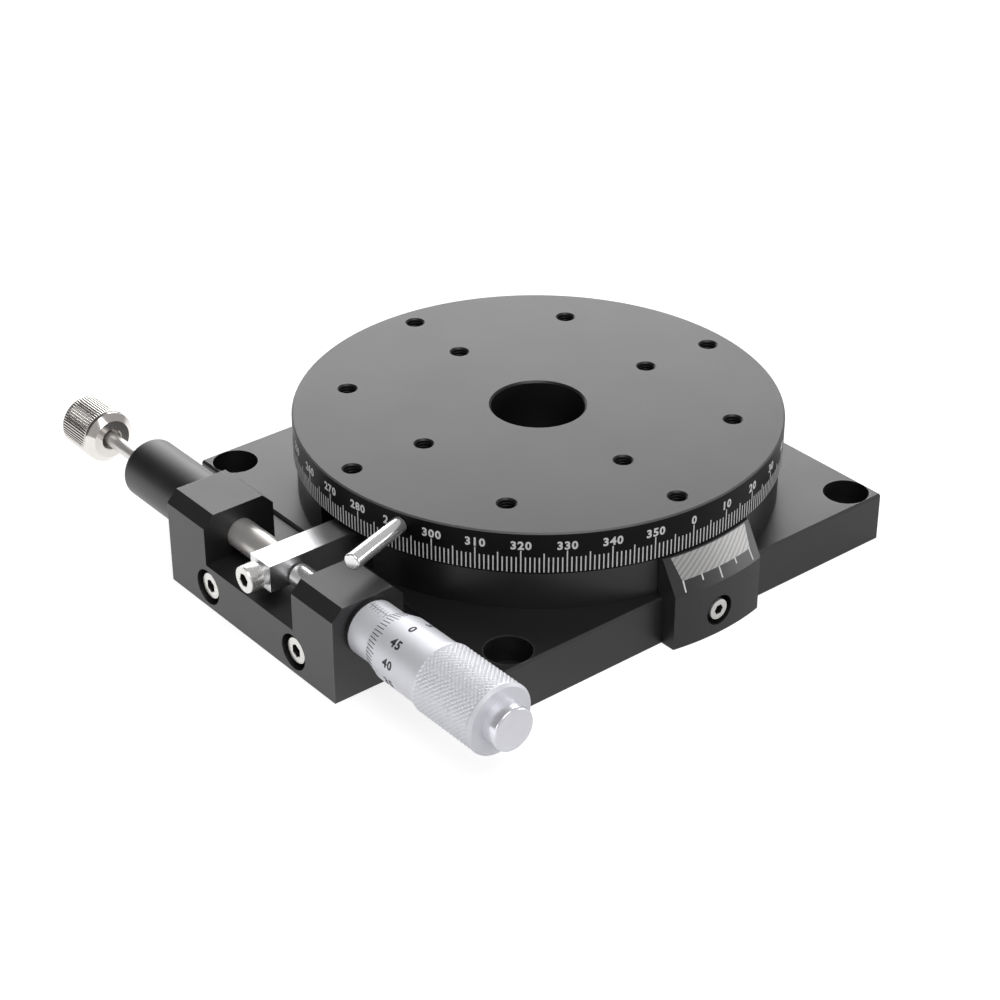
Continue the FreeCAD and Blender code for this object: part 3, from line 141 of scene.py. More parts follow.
class VernierSizes(bpy.types.PropertyGroup):
    """Reading scale on the leaning face of the vernier block."""

    middle: turn("Middle", "Azimuth of the scale's middle line", 0.9)
    step: turn("Step", "Angle between two long lines", 4.8)
    first: turn("First", "Azimuth of the scale's first end", -8.9)
    last: turn("Last", "Azimuth of the scale's last end", 10.8)
    widen: plain("Widen", "Top of the hatched field against its foot", 1.14)
    base_level: length("Base level", "Lower edge of the hatched field", 17.9)
    top_level: length("Top level", "Upper edge of the hatched field", 23.15)
    long_level: length("Long line", "Lower end of the end and middle lines", 15.35)
    short_level: length("Short line", "Lower end of the other lines", 16.6)
    wide: length("Line width", "Width of a line", 0.42)
    hatch: length("Hatch", "Distance between the oblique lines", 1.15)
    bend: length("Bend", "Height where the block's face starts to lean", 14.8)
    crest: length("Crest", "Top edge of the block outside the rim", 0.7)
    proud: length("Proud", "Scale above the block's face", 0.03)


class ThimbleSizes(bpy.types.PropertyGroup):
    """Turned and knurled thimble of the micrometer."""

    wall_in: length("Bore", "Radius of the thimble's bore", 7.1)
    lip: length("Lip", "Radius at the reading edge", 7.3)
    barrel: length("Barrel", "Radius of the plain part", 8.3)
    tail: length("Tail hole", "Radius of the hole in the end wall", 2.5)
    cone: length("Cone", "Length of the graduated cone", 4.0)
    plain: length("Plain part", "Length of the plain part", 12.7)
    step: length("Step", "Length of the step before the grip", 2.6)
    end_wall: length("End wall", "Thickness of the end wall", 6.8)
    edge: length("Edge", "Chamfer of the grip's end", 0.7)
    knurls: whole("Knurls", "Knurls round the grip", 44)
    knurl_deep: length("Knurl depth", "Depth of the knurling", 0.21)
    line_wide: length("Line width", "Width of a line on the cone", 0.2)
    line_short: length("Short line", "Length of a line on the cone", 3.0)
    line_long: length("Long line", "Length of each fifth line", 3.7)
    numeral_high: length("Numeral height", "Height of a numeral on the thimble", 2.3)
    numeral_pitch: length("Numeral pitch", "Distance between the figures of a numeral", 1.75)
    numeral_reach: length("Numeral place", "Middle of the numerals from the reading edge", 8.9)
    zero: turn("Zero", "Place of the zero from the top towards the front", 4.0)


class KnobSizes(bpy.types.PropertyGroup):
    """Knurled knob of the spring plunger."""

    ribs: whole("Ribs", "Ribs round the knob", 60)
    rib_deep: length("Rib depth", "Depth of the straight knurling", 0.2)
    bevel: length("Bevel", "Length of the bevelled ring", 2.0)
    nose: length("Nose", "Radius of the near face", 5.3)
    edge: length("Edge", "Chamfer of the far end", 0.6)
    recess: length("Recess", "Radius of the recess", 2.7)
    recess_deep: length("Recess depth", "Depth of the recess", 3.0)
    rod: length("Rod", "Radius of the pull rod", 1.85)
    solid: length("Solid", "Knob past the end of the pull rod", 5.0)


class ScrewSizes(bpy.types.PropertyGroup):
    """Socket head screws."""

    head: length("Head", "Radius of a head", 3.5)
    head_high: length("Head height", "Height of a head", 4.0)
    shank: length("Shank", "Radius of a shank", 2.0)
    socket: length("Socket", "Width of the hexagon across its flats", 3.0)
    socket_deep: length("Socket depth", "Depth of the hexagon", 2.0)
    edge: length("Edge", "Rounding of a head's front edge", 0.45)
    ribs: whole("Ribs", "Ribs round a head", 48)
    rib_deep: length("Rib depth", "Depth of the ribs", 0.09)
    small: plain("Small", "Vernier screw against the other screws", 0.786)


class ThreadSizes(bpy.types.PropertyGroup):
    """Threads of the table's tapped holes."""

    near: length("Near holes", "First distance of the holes from the middle", 35.0)
    rim: length("Rim", "Outer holes from the rim", 6.5)
    hole: length("Hole", "Radius of a tapped hole", 2.15)
    deep: length("Depth", "Depth of the thread", 8.2)
    lead_in: length("Lead-in", "Start of the thread below the table's top", 0.7)
    pitch: length("Pitch", "Pitch of the thread", 0.8)
    crest: length("Crest", "Size of the thread's ridge", 0.26)


class FinishColours(bpy.types.PropertyGroup):
    """Colours of the finishes, in linear values."""

    anodised: paint("Anodised", "Black anodised aluminium", (0.006, 0.006, 0.0066))
    chrome: paint("Chrome", "Satin chrome of the micrometer", (0.72, 0.725, 0.765))
    steel: paint("Steel", "Polished steel", (0.79, 0.785, 0.79))
    ground: paint("Ground", "Ground steel of the rods", (0.66, 0.64, 0.62))
    # Painted highlight and wear: lighter colour along the anodised edges and round the base's corner-hole
    # mouths.
    worn: paint("Worn edge", "Worn edges of the anodised pieces", (0.12, 0.12, 0.125))
    # Painted shade: the rim's dark, barely reflective colour stands in for the dark floor that it mirrors.
    rim: paint("Rim", "Dull rim of the table", (0.014, 0.014, 0.015))
    # Painted highlight: the chamfer's lighter colour stands in for light caught by the table's top edge.
    chamfer: paint("Chamfer", "Bright edge of the table", (0.2, 0.2, 0.21))
    cap: paint("Cap", "Bright chrome of the thimble's cap", (0.82, 0.82, 0.87))
    aluminium: paint("Aluminium", "Bare aluminium of the arm", (0.68, 0.675, 0.685))
    nickel: paint("Nickel", "Nickel plate of the knob", (0.64, 0.615, 0.59))
    screw: paint("Screw", "Bright screws", (0.74, 0.73, 0.71))
    oxide: paint("Oxide", "Black oxide of the hidden screws", (0.03, 0.03, 0.032))
    brass: paint("Brass", "Brass of the inner pieces", (0.72, 0.53, 0.26))
    white: paint("White", "White filling of the lines", (0.62, 0.62, 0.62))
    shadow: paint("Shadow", "Inside of a screw's socket", (0.012, 0.01, 0.01))
    # Darker colour blended into the knob's grooves.
    dirt: paint("Dirt", "Dirt in the knob's grooves", (0.1, 0.09, 0.085))
    race: paint("Race", "Steel of the ball bearing", (0.6, 0.6, 0.62))
    wire: paint("Wire", "Spring wire", (0.45, 0.45, 0.47))
    field: paint("Field", "Ground of the vernier's reading field", (0.25, 0.245, 0.25))
    hatch: paint("Hatch", "Oblique lines of that field", (0.4, 0.395, 0.385))
    black: paint("Black", "Black filling of the micrometer's lines", (0.02, 0.02, 0.024))


class StudioSettings(bpy.types.PropertyGroup):
    """Floor, world, lamps and camera."""

    floor_white: plain("Floor", "Colour of the floor", 0.45, min=0, max=1)
    floor_glow: plain("Floor glow", "White that the floor shows by itself", 0.76)
    mirror_left: plain("Left in metal", "Floor on the left as metal shows it", 0.95)
    mirror_right: plain("Right in metal", "Floor on the right as metal shows it", 0.3)
    sky: plain("Sky", "Level of the world", 0.5)
    shade: plain("Shade", "Level of the world on its dark side", 0.1)
    rear: plain("Rear box", "Power of the rear soft box", 10.0, unit="POWER")
    front: plain("Front box", "Power of the low front soft box", 2.0, unit="POWER")
    side: plain("Side box", "Power of the high side soft box", 7.0, unit="POWER")
    right: plain("Right box", "Power of the low right soft box", 3.0, unit="POWER")
    azimuth: turn("Azimuth", "Camera's azimuth from the front towards the thimble's side", 50.617)
    elevation: turn("Elevation", "Camera above the horizon", 31.09)
    distance: plain("Distance", "Camera from its aim", 0.6433, unit="LENGTH")
    aim: FloatVectorProperty(name="Aim", description="Point in the picture's middle",
                             default=(-0.0137, -0.00125, 0.0), size=3, subtype="TRANSLATION")
    lens: plain("Lens", "Focal length in millimetres", 87.46, unit="CAMERA")


# Arithmetic on node sockets
class Field:
    """A number that varies over a surface or along a row of points."""

    def __init__(self, socket):
        self.socket = socket

    def __add__(self, other):
        return maths("ADD", self, other)

    def __radd__(self, other):
        return maths("ADD", other, self)

    def __sub__(self, other):
        return maths("SUBTRACT", self, other)

    def __rsub__(self, other):
        return maths("SUBTRACT", other, self)

    def __mul__(self, other):
        return maths("MULTIPLY", self, other)

    def __rmul__(self, other):
        return maths("MULTIPLY", other, self)

    def __truediv__(self, other):
        return maths("DIVIDE", self, other)

    def __rtruediv__(self, other):
        return maths("DIVIDE", other, self)

    def __mod__(self, other):
        return maths("FLOORED_MODULO", self, other)

    def __abs__(self):
        return maths("ABSOLUTE", self)


def feed(socket, value):
    """Link a field or a socket to a socket, or set the socket to a plain value."""
    source = value.socket if isinstance(value, Field) else value
    if isinstance(source, bpy.types.NodeSocket):
        socket.id_data.links.new(source, socket)
    else:
        socket.default_value = source


def maths(operation, *values):
    """Field worked out by one Math node."""
    tree = next(value.socket.id_data for value in values if isinstance(value, Field))
    node = tree.nodes.new("ShaderNodeMath")
    node.operation = operation
    for socket, value in zip(node.inputs, values):
        feed(socket, value)
    return Field(node.outputs[0])


def hypotenuse(first, second):
    """Field of the distance that two sides at a right angle span."""
    return maths("SQRT", first * first + second * second)


def smallest(first, *others):
    """Least of several fields."""
    for other in others:
        first = maths("MINIMUM", first, other)
    return first


def largest(first, *others):
    """Greatest of several fields."""
    for other in others:
        first = maths("MAXIMUM", first, other)
    return first


class Network:
    """A node tree under construction."""

    def __init__(self, tree):
        self.tree = tree

    def node(self, kind, settings=None, inputs=None):
        """Add a node, then set its options and its inputs."""
        node = self.tree.nodes.new(kind)
        for name, value in (settings or {}).items():
            setattr(node, name, value)
        for name, value in (inputs or {}).items():
            feed(node.inputs[name], value)
        return node

    def ramp(self, value, low, high, start=0.0, end=1.0, smooth=True):
        """Value taken from one range to another, held at its ends."""
        steps = "SMOOTHSTEP" if smooth else "LINEAR"
        made = self.node("ShaderNodeMapRange", {"interpolation_type": steps}, {
            "Value": value, "From Min": low, "From Max": high, "To Min": start, "To Max": end})
        return Field(made.outputs["Result"])

    def vector(self, x, y, z):
        """Vector of three fields or numbers."""
        return self.node("ShaderNodeCombineXYZ", {}, {"X": x, "Y": y, "Z": z}).outputs["Vector"]

    def parts(self, vector):
        """Three fields of a vector."""
        split = self.node("ShaderNodeSeparateXYZ", {}, {"Vector": vector})
        return [Field(socket) for socket in split.outputs]


class Finish(Network):
    """A material whose look varies over the piece."""

    def __init__(self, name, metallic, roughness, **fixed):
        self.material = bpy.data.materials.new(name)
        self.material.use_nodes = True
        super().__init__(self.material.node_tree)
        self.tree.nodes.clear()
        self.shader = self.node("ShaderNodeBsdfPrincipled", {}, {
            "Metallic": metallic, "Roughness": roughness, **fixed})
        self.node("ShaderNodeOutputMaterial", {}, {"Surface": self.shader.outputs["BSDF"]})
        self.place = self.node("ShaderNodeTexCoord").outputs["Object"]
        self.x, self.y, self.z = [part * (1 / MM) for part in self.parts(self.place)]

    def speckle(self, grain, detail=2.0, stretch=(1, 1, 1), spot=None):
        """Noise whose grain is given in millimetres."""
        base = self.place
        if spot is not None:
            base = self.vector(*[part * MM for part in spot])
        scaled = self.node("ShaderNodeVectorMath", {"operation": "MULTIPLY"}, {0: base, 1: stretch})
        made = self.node("ShaderNodeTexNoise", {}, {
            "Vector": scaled.outputs["Vector"], "Scale": 1 / (grain * MM), "Detail": detail})
        return Field(made.outputs["Fac"])

    def blend(self, share, first, second):
        """Colour between two colours."""
        mix = self.node("ShaderNodeMix", {"data_type": "RGBA"}, {"Factor": share})
        feed(mix.inputs[MIX_FIRST], first if isinstance(first, bpy.types.NodeSocket) else (*first, 1))
        feed(mix.inputs[MIX_SECOND], second if isinstance(second, bpy.types.NodeSocket) else (*second, 1))
        return mix.outputs[MIX_RESULT]

    def tinted(self, colour, amount):
        """Colour made lighter or darker by a field round 1."""
        scale = self.node("ShaderNodeVectorMath", {"operation": "SCALE"}, {
            0: tuple(colour), "Scale": amount})
        return scale.outputs["Vector"]

    def colour(self, value):
        """Set the base colour."""
        feed(self.shader.inputs["Base Color"], value)

    def rough(self, value):
        """Set the roughness."""
        feed(self.shader.inputs["Roughness"], value)

    def relief(self, height, deep):
        """Fine relief, with its depth in millimetres."""
        bump = self.node("ShaderNodeBump", {}, {"Height": height, "Distance": deep * MM, "Strength": 1.0})
        feed(self.shader.inputs["Normal"], bump.outputs["Normal"])

    def edges(self, low, high, wide):
        """Mask that is 1 along the edges of a box given in metres."""
        near = []
        for part, least, most in zip((self.x, self.y, self.z), low, high):
            near.append(smallest(part - least / MM, most / MM - part))
        first, second, third = near
        between = largest(smallest(first, second), smallest(largest(first, second), third))
        return 1 - self.ramp(between, 0.0, wide)


# Finishes, with all sizes of their patterns in millimetres
def anodised(name, low, high, colours, mouths=None):
    """Fine matt black anodising on a milled piece, lighter along its edges as wear and painted highlight,
    and with a painted highlight round its corner holes' mouths.
    """
    finish = Finish(name, metallic=0.0, roughness=0.4, IOR=1.6)
    cloud = finish.speckle(9.0, detail=3.0)
    grain = finish.speckle(0.16)
    milled = finish.speckle(0.5, stretch=(1.0, 0.08, 1.0))
    # Lighter edges: partly wear, partly a painted highlight that stands in for light caught by the edges.
    worn = finish.edges(low, high, 0.45) * finish.ramp(finish.speckle(2.5, detail=3.0), 0.35, 0.7, 0.35, 1.0)
    if mouths:
        place, radius = mouths
        top = high.z / MM
        # Painted highlight: a lighter ring at the corner holes' mouths stands in for light caught by their
        # edges.
        reach = hypotenuse(abs(finish.x) - place, abs(finish.y) - place)
        ring = 1 - finish.ramp(abs(reach - radius), 0.0, 0.3)
        worn = largest(worn, ring * finish.ramp(finish.z, top - 0.3, top - 0.1))
    base = finish.tinted(colours.anodised, 0.8 + 0.4 * cloud)
    finish.colour(finish.blend(worn * 0.4, base, colours.worn))
    finish.rough(0.37 + 0.06 * cloud + 0.05 * grain - 0.05 * worn)
    finish.relief(grain * 0.6 + milled * 0.4, 0.006)
    return finish.material


def turned_anodised(colours):
    """Black anodising on the turned table, with a duller rim whose dark, barely reflective colour is painted
    shade, and a painted highlight on its chamfer.
    """
    finish = Finish("anodised_table", metallic=0.0, roughness=0.36, IOR=1.43)
    reach = hypotenuse(finish.x, finish.y)
    radius = DISK_RADIUS / MM
    top = DISK_TOP / MM
    below = 1 - finish.ramp(finish.z, top - 0.42, top - 0.36)
    # Painted shade: below the top, the rim gets a dark metallic colour that hardly reflects, standing in for
    # the dark floor it mirrors.
    rim = finish.ramp(reach, radius - 0.3, radius - 0.1) * below
    rings = finish.speckle(0.5, spot=(reach, 0.0, 0.0))
    grain = finish.speckle(0.14)
    cloud = finish.speckle(14.0, detail=3.0)
    # Painted highlight: the chamfer ring round the top is lightened to stand in for the light it catches.
    chamfer = finish.ramp(reach, radius - 0.5, radius - 0.35) * (1 - rim)
    base = finish.tinted(colours.anodised, 0.85 + 0.3 * cloud)
    shaded_rim_colour = finish.blend(rim, base, colours.rim)
    finish.colour(finish.blend(chamfer * 0.35, shaded_rim_colour, colours.chamfer))
    feed(finish.shader.inputs["Metallic"], rim)
    finish.rough(0.34 + 0.05 * cloud + 0.04 * rings + 0.1 * rim)
    finish.relief(grain * 0.5 + rings * 0.5, 0.005)
    return finish.material


def satin_chrome(name, colour):
    """Satin chrome, turned round the micrometer's line."""
    finish = Finish(name, metallic=0.42, roughness=0.45)
    lines = finish.speckle(0.14, stretch=(1.0, 0.02, 0.02))
    cloud = finish.speckle(4.0, detail=3.0)
    finish.colour(finish.tinted(colour, 0.96 + 0.07 * cloud))
    finish.rough(0.4 + 0.09 * lines + 0.05 * cloud)
    finish.relief(lines, 0.006)
    return finish.material


def polished(name, colour, rough, metallic=1.0):
    """Ground and polished metal with faint marks of handling."""
    finish = Finish(name, metallic=metallic, roughness=rough)
    cloud = finish.speckle(2.5, detail=3.0)
    marks = finish.speckle(0.35, stretch=(0.12, 1.0, 1.0))
    finish.colour(finish.tinted(colour, 0.93 + 0.1 * cloud))
    finish.rough(rough + 0.08 * cloud + 0.05 * marks)
    finish.relief(marks, 0.0012)
    return finish.material


def brushed(name, colour, rough, stretch):
    """Metal with fine lines along one direction."""
    finish = Finish(name, metallic=1.0, roughness=rough)
    lines = finish.speckle(0.12, stretch=stretch)
    cloud = finish.speckle(5.0, detail=3.0)
    finish.colour(finish.tinted(colour, 0.9 + 0.12 * lines + 0.08 * cloud))
    finish.rough(rough + 0.12 * lines)
    finish.relief(lines, 0.004)
    return finish.material


def filling(name, colour, rough=0.55):
    """Paint wiped into engraved lines; the same maker gives the black oxide and the painted shade inside the
    screws' sockets.
    """
    finish = Finish(name, metallic=0.0, roughness=rough)
    grain = finish.speckle(0.22, detail=3.0)
    finish.colour(finish.tinted(colour, 0.82 + 0.36 * grain))
    finish.relief(grain, 0.003)
    return finish.material


def nickel(name, colours):
    """Nickel plate, darker in the grooves of its knurling."""
    finish = Finish(name, metallic=1.0, roughness=0.2)
    reach = hypotenuse(finish.y - LINE_Y / MM, finish.z - LINE_Z / MM)
    radius = (KNOB_HIGH.z - LINE_Z) / MM
    face = KNOB_HIGH.x / MM
    groove = 1 - finish.ramp(reach, radius - 0.2, radius - 0.02)
    ribbed = 1 - finish.ramp(finish.x, face - 3.0, face - 2.7)
    cloud = finish.speckle(3.0, detail=3.0)
    base = finish.tinted(colours.nickel, 0.92 + 0.14 * cloud)
    # Darker colour in the grooves of the ribbed part.
    finish.colour(finish.blend(groove * ribbed * 0.5, base, colours.dirt))
    finish.rough(0.1 + 0.06 * cloud + 0.1 * ribbed)
    finish.relief(finish.speckle(0.3), 0.0015)
    return finish.material


def etched(name, sizes, colours):
    """Bright reading field of the vernier with fine oblique lines."""
    finish = Finish(name, metallic=0.35, roughness=0.42)
    slant = math.radians(31)
    stretch = 1.1
    around = maths("ARCTAN2", finish.y, finish.x) * (VERNIER_HIGH.x / MM)
    across = around * math.sin(slant) - finish.z * math.cos(slant) * stretch
    phase = (across * (MM / sizes.hatch)) % 1.0
    line = finish.ramp(abs(phase - 0.5), 0.1, 0.3)
    grain = finish.speckle(0.6, detail=3.0)
    finish.colour(finish.blend(line * (0.55 + 0.45 * grain), colours.field, colours.hatch))
    finish.relief(line, 0.01)
    return finish.material


def palette(context):
    """Makers of the finishes that several pieces share."""
    colours = context.scene.finish_colours
    return {
        "turned_chrome": partial(satin_chrome, colour=colours.chrome),
        "bright_steel": partial(polished, colour=colours.steel, rough=0.12, metallic=0.8),
        "ground_steel": partial(polished, colour=colours.ground, rough=0.26, metallic=0.7),
        "cap_chrome": partial(polished, colour=colours.cap, rough=0.14, metallic=0.6),
        "arm_aluminium": partial(brushed, colour=colours.aluminium, rough=0.25, stretch=(1.0, 0.03, 1.0)),
        "nickel_plate": partial(nickel, colours=colours),
        "screw_steel": partial(polished, colour=colours.screw, rough=0.2, metallic=0.7),
        # Painted shade: a near-black sheet on the inner faces of the screws' sockets.
        "socket_shade": partial(filling, colour=colours.shadow, rough=0.5),
        "race_steel": partial(polished, colour=colours.race, rough=0.16),
        "black_oxide": partial(filling, colour=colours.oxide, rough=0.4),
        "spring_wire": partial(polished, colour=colours.wire, rough=0.26),
        "turned_brass": partial(brushed, colour=colours.brass, rough=0.28, stretch=(0.05, 0.05, 1.0)),
        "white_filling": partial(filling, colour=colours.white),
        "black_filling": partial(filling, colour=colours.black),
        "vernier_field": partial(etched, sizes=context.scene.vernier_sizes, colours=colours),
    }


def finish_named(context, name):
    """Material of that name, made on its first use."""
    found = bpy.data.materials.get(name)
    return found if found else palette(context)[name](name)


# Meshes
def added(name, mesh):
    """New object in the scene with its place in its mesh."""
    item = bpy.data.objects.new(name, mesh)
    bpy.context.scene.collection.objects.link(item)
    return item


def finished_mesh(name, bm, sharp=35.0):
    """Plain mesh from a bmesh, merged, facing outwards and smooth between its sharp edges."""
    bmesh.ops.remove_doubles(bm, verts=bm.verts, dist=1e-7)
    bmesh.ops.recalc_face_normals(bm, faces=bm.faces)
    mesh = bpy.data.meshes.new(name)
    bm.to_mesh(mesh)
    bm.free()
    shade(mesh, sharp)
    return mesh


def shade(mesh, sharp=35.0):
    """Smooth shading with sharp edges where faces meet at more than an angle."""
    mesh.polygons.foreach_set("use_smooth", [True] * len(mesh.polygons))
    mesh.set_sharp_from_angle(angle=math.radians(sharp))


def dressed(name, bm, material):
    """New object made from a bmesh, in one material."""
    item = added(name, finished_mesh(name, bm))
    item.data.materials.append(material)
    return item


def lathe(bm, stations, segments, place, closed):
    """Turn stations of (along, radius) round a line; place gives the point of (along, radius, angle)."""
    rings = []
    for along, radius in stations:
        if radius == 0:
            rings.append([bm.verts.new(place(along, 0, 0))])
        else:
            rings.append([bm.verts.new(place(along, radius, 2 * math.pi * step / segments))
                          for step in range(segments)])
    pairs = list(zip(rings, rings[1:]))
    if closed:
        pairs.append((rings[-1], rings[0]))
    for near, far in pairs:
        join_rings(bm, near, far, segments)
    return rings


def join_rings(bm, near, far, segments):
    """Faces between two rings, either of which may be a single point."""
    for step in range(segments):
        after = (step + 1) % segments
        if len(near) == 1:
            bm.faces.new((near[0], far[after], far[step]))
        elif len(far) == 1:
            bm.faces.new((near[step], near[after], far[0]))
        else:
            bm.faces.new((near[step], near[after], far[after], far[step]))


def on_line(along, radius, angle):
    """Point round the micrometer's line, with the angle from the top towards the front."""
    return Vector((along, LINE_Y - radius * math.sin(angle), LINE_Z + radius * math.cos(angle)))


def on_axis(azimuth, reach, level):
    """Point round the rotation axis."""
    return Vector((reach * math.cos(azimuth), reach * math.sin(azimuth), level))


def bar(bm, sections):
    """Closed bar through sections of four corners each."""
    rings = [[bm.verts.new(corner) for corner in section] for section in sections]
    bm.faces.new(rings[0][::-1])
    bm.faces.new(rings[-1])
    for near, far in zip(rings, rings[1:]):
        join_rings(bm, near, far, 4)


def stroke(bm, radius, ends, angle, sides, deep):
    """Closed line on a piece turned round the micrometer's line, whose radius is radius(along)."""
    corners = []
    for out in (-deep, deep):
        for along, side in ((0, 0), (1, 0), (1, 1), (0, 1)):
            reach = radius(ends[along])
            corners.append(on_line(ends[along], reach + out, angle + sides[side] / reach))
    bar(bm, (corners[:4], corners[4:]))


def figures(bm, text, high, pitch, deep, place, kept=None):
    """Figures of a numeral, bent on a surface by place(across, up, out); kept(across) tells which stay."""
    for index, figure in enumerate(text):
        middle = (index - (len(text) - 1) / 2) * pitch
        if kept and not kept(middle):
            continue
        outline = figure_outline(figure, high)
        start = len(bm.verts)
        bm.from_mesh(outline)
        bm.verts.ensure_lookup_table()
        for vert in bm.verts[start:]:
            across, up, out = vert.co
            vert.co = place(middle + across, up, deep if out > 0 else -deep)


def figure_outline(figure, high):
    """Mesh of one figure, centred, of a set height and two units thick."""
    name = "figure_" + figure
    known = bpy.data.meshes.get(name)
    if known:
        return known
    curve = bpy.data.curves.new(name, "FONT")
    curve.body = figure
    curve.extrude = 1.0
    curve.offset = 0.034
    curve.resolution_u = 3
    holder = added(name, curve)
    graph = bpy.context.evaluated_depsgraph_get()
    mesh = bpy.data.meshes.new_from_object(holder.evaluated_get(graph), depsgraph=graph)
    mesh.name = name
    bpy.data.objects.remove(holder)
    xs = [vert.co.x for vert in mesh.vertices]
    ys = [vert.co.y for vert in mesh.vertices]
    middle = Vector(((min(xs) + max(xs)) / 2, (min(ys) + max(ys)) / 2, 0))
    scale = high / (max(ys) - min(ys))
    mesh.transform(Matrix.Diagonal((scale, scale, 1, 1)) @ Matrix.Translation(-middle))
    return mesh


# Geometry trees
class Shape(Network):
    """A geometry tree with named inputs that ends in one material."""

    def __init__(self, name, inputs):
        tree = bpy.data.node_groups.new(name, "GeometryNodeTree")
        super().__init__(tree)
        tree.interface.new_socket("Geometry", in_out="INPUT", socket_type="NodeSocketGeometry")
        for label, kind in inputs.items():
            tree.interface.new_socket(label, in_out="INPUT", socket_type="NodeSocket" + kind)
        tree.interface.new_socket("Geometry", in_out="OUTPUT", socket_type="NodeSocketGeometry")
        self.start = tree.nodes.new("NodeGroupInput")
        self.end = tree.nodes.new("NodeGroupOutput")

    def given(self, label):
        """Value of a named input as a field."""
        return Field(self.start.outputs[label])

    def index(self):
        """Number of each point."""
        return Field(self.node("GeometryNodeInputIndex").outputs[0])

    def finish(self, geometry):
        """Realize the instances, set the material and end the tree."""
        real = self.node("GeometryNodeRealizeInstances", {}, {"Geometry": geometry})
        dressed = self.node("GeometryNodeSetMaterial", {}, {
            "Geometry": real.outputs["Geometry"], "Material": self.start.outputs["Material"]})
        feed(self.end.inputs["Geometry"], dressed.outputs["Geometry"])

    def grow(self, name, base, values):
        """Run the tree on a base mesh and keep the result as a plain mesh."""
        item = added(name, base)
        modifier = item.modifiers.new(name, "NODES")
        modifier.node_group = self.tree
        for socket in self.tree.interface.items_tree:
            if socket.in_out == "INPUT" and socket.name in values:
                modifier[socket.identifier] = values[socket.name]
        graph = bpy.context.evaluated_depsgraph_get()
        mesh = bpy.data.meshes.new_from_object(item.evaluated_get(graph), depsgraph=graph)
        mesh.name = name
        item.modifiers.clear()
        item.data = mesh
        return item


def ring_of_lines():
    """Tree: lines round an axis, each fifth and tenth of its own length."""
    shape = Shape("ring_of_lines", {
        "Count": "Int", "Radius": "Float", "Start": "Float", "Turn": "Float", "Short": "Float",
        "Middle": "Float", "Tall": "Float", "Width": "Float", "Thickness": "Float", "Material": "Material"})
    index = shape.index()
    radius = shape.given("Radius")
    short, middle, tall = [shape.given(label) for label in ("Short", "Middle", "Tall")]
    angle = shape.given("Turn") + index * (2 * math.pi) / shape.given("Count")
    fifth = 1 - maths("SIGN", index % 5.0)
    tenth = 1 - maths("SIGN", index % 10.0)
    long = short + fifth * (middle - short) + tenth * (tall - middle)
    across = radius * maths("COSINE", angle)
    up = radius * maths("SINE", angle)
    spots = shape.node("GeometryNodePoints", {}, {
        "Count": shape.given("Count"),
        "Position": shape.vector(across, up, shape.given("Start") + long * 0.5)})
    cube = shape.node("GeometryNodeMeshCube", {}, {"Size": (1.0, 1.0, 1.0)})
    turned = shape.node("FunctionNodeEulerToRotation", {}, {"Euler": shape.vector(0.0, 0.0, angle)})
    placed = shape.node("GeometryNodeInstanceOnPoints", {}, {
        "Points": spots.outputs[0], "Instance": cube.outputs["Mesh"], "Rotation": turned.outputs[0],
        "Scale": shape.vector(shape.given("Thickness"), shape.given("Width"), long)})
    shape.finish(placed.outputs["Instances"])
    return shape


def copies_on_points():
    """Tree: a copy of one piece on each point, turned one way."""
    shape = Shape("copies_on_points", {
        "Piece": "Object", "Turn": "Rotation", "Material": "Material", "Hollow material": "Material"})
    piece = shape.node("GeometryNodeObjectInfo", {}, {"Object": shape.start.outputs["Piece"]})
    placed = shape.node("GeometryNodeInstanceOnPoints", {}, {
        "Points": shape.start.outputs["Geometry"], "Instance": piece.outputs["Geometry"],
        "Rotation": shape.start.outputs["Turn"]})
    real = shape.node("GeometryNodeRealizeInstances", {}, {"Geometry": placed.outputs["Instances"]})
    bright = shape.node("GeometryNodeSetMaterial", {}, {
        "Geometry": real.outputs["Geometry"], "Material": shape.start.outputs["Material"]})
    hollow = shape.node("GeometryNodeInputNamedAttribute", {"data_type": "BOOLEAN"}, {"Name": "hollow"})
    dark = shape.node("GeometryNodeSetMaterial", {}, {
        "Geometry": bright.outputs["Geometry"], "Selection": hollow.outputs["Attribute"],
        "Material": shape.start.outputs["Hollow material"]})
    feed(shape.end.inputs["Geometry"], dark.outputs["Geometry"])
    return shape


def thread_coils():
    """Tree: a thread's ridge wound up from each point."""
    shape = Shape("thread_coils", {
        "Radius": "Float", "Depth": "Float", "Turns": "Float", "Ridge": "Float", "Material": "Material"})
    coil = shape.node("GeometryNodeCurveSpiral", {}, {
        "Resolution": 20, "Rotations": shape.given("Turns"), "Start Radius": shape.given("Radius"),
        "End Radius": shape.given("Radius"), "Height": shape.given("Depth")})
    ridge = shape.node("GeometryNodeCurvePrimitiveCircle", {}, {
        "Resolution": 3, "Radius": shape.given("Ridge")})
    wound = shape.node("GeometryNodeCurveToMesh", {}, {
        "Curve": coil.outputs["Curve"], "Profile Curve": ridge.outputs["Curve"], "Fill Caps": True})
    placed = shape.node("GeometryNodeInstanceOnPoints", {}, {
        "Points": shape.start.outputs["Geometry"], "Instance": wound.outputs["Mesh"]})
    shape.finish(placed.outputs["Instances"])
    return shape


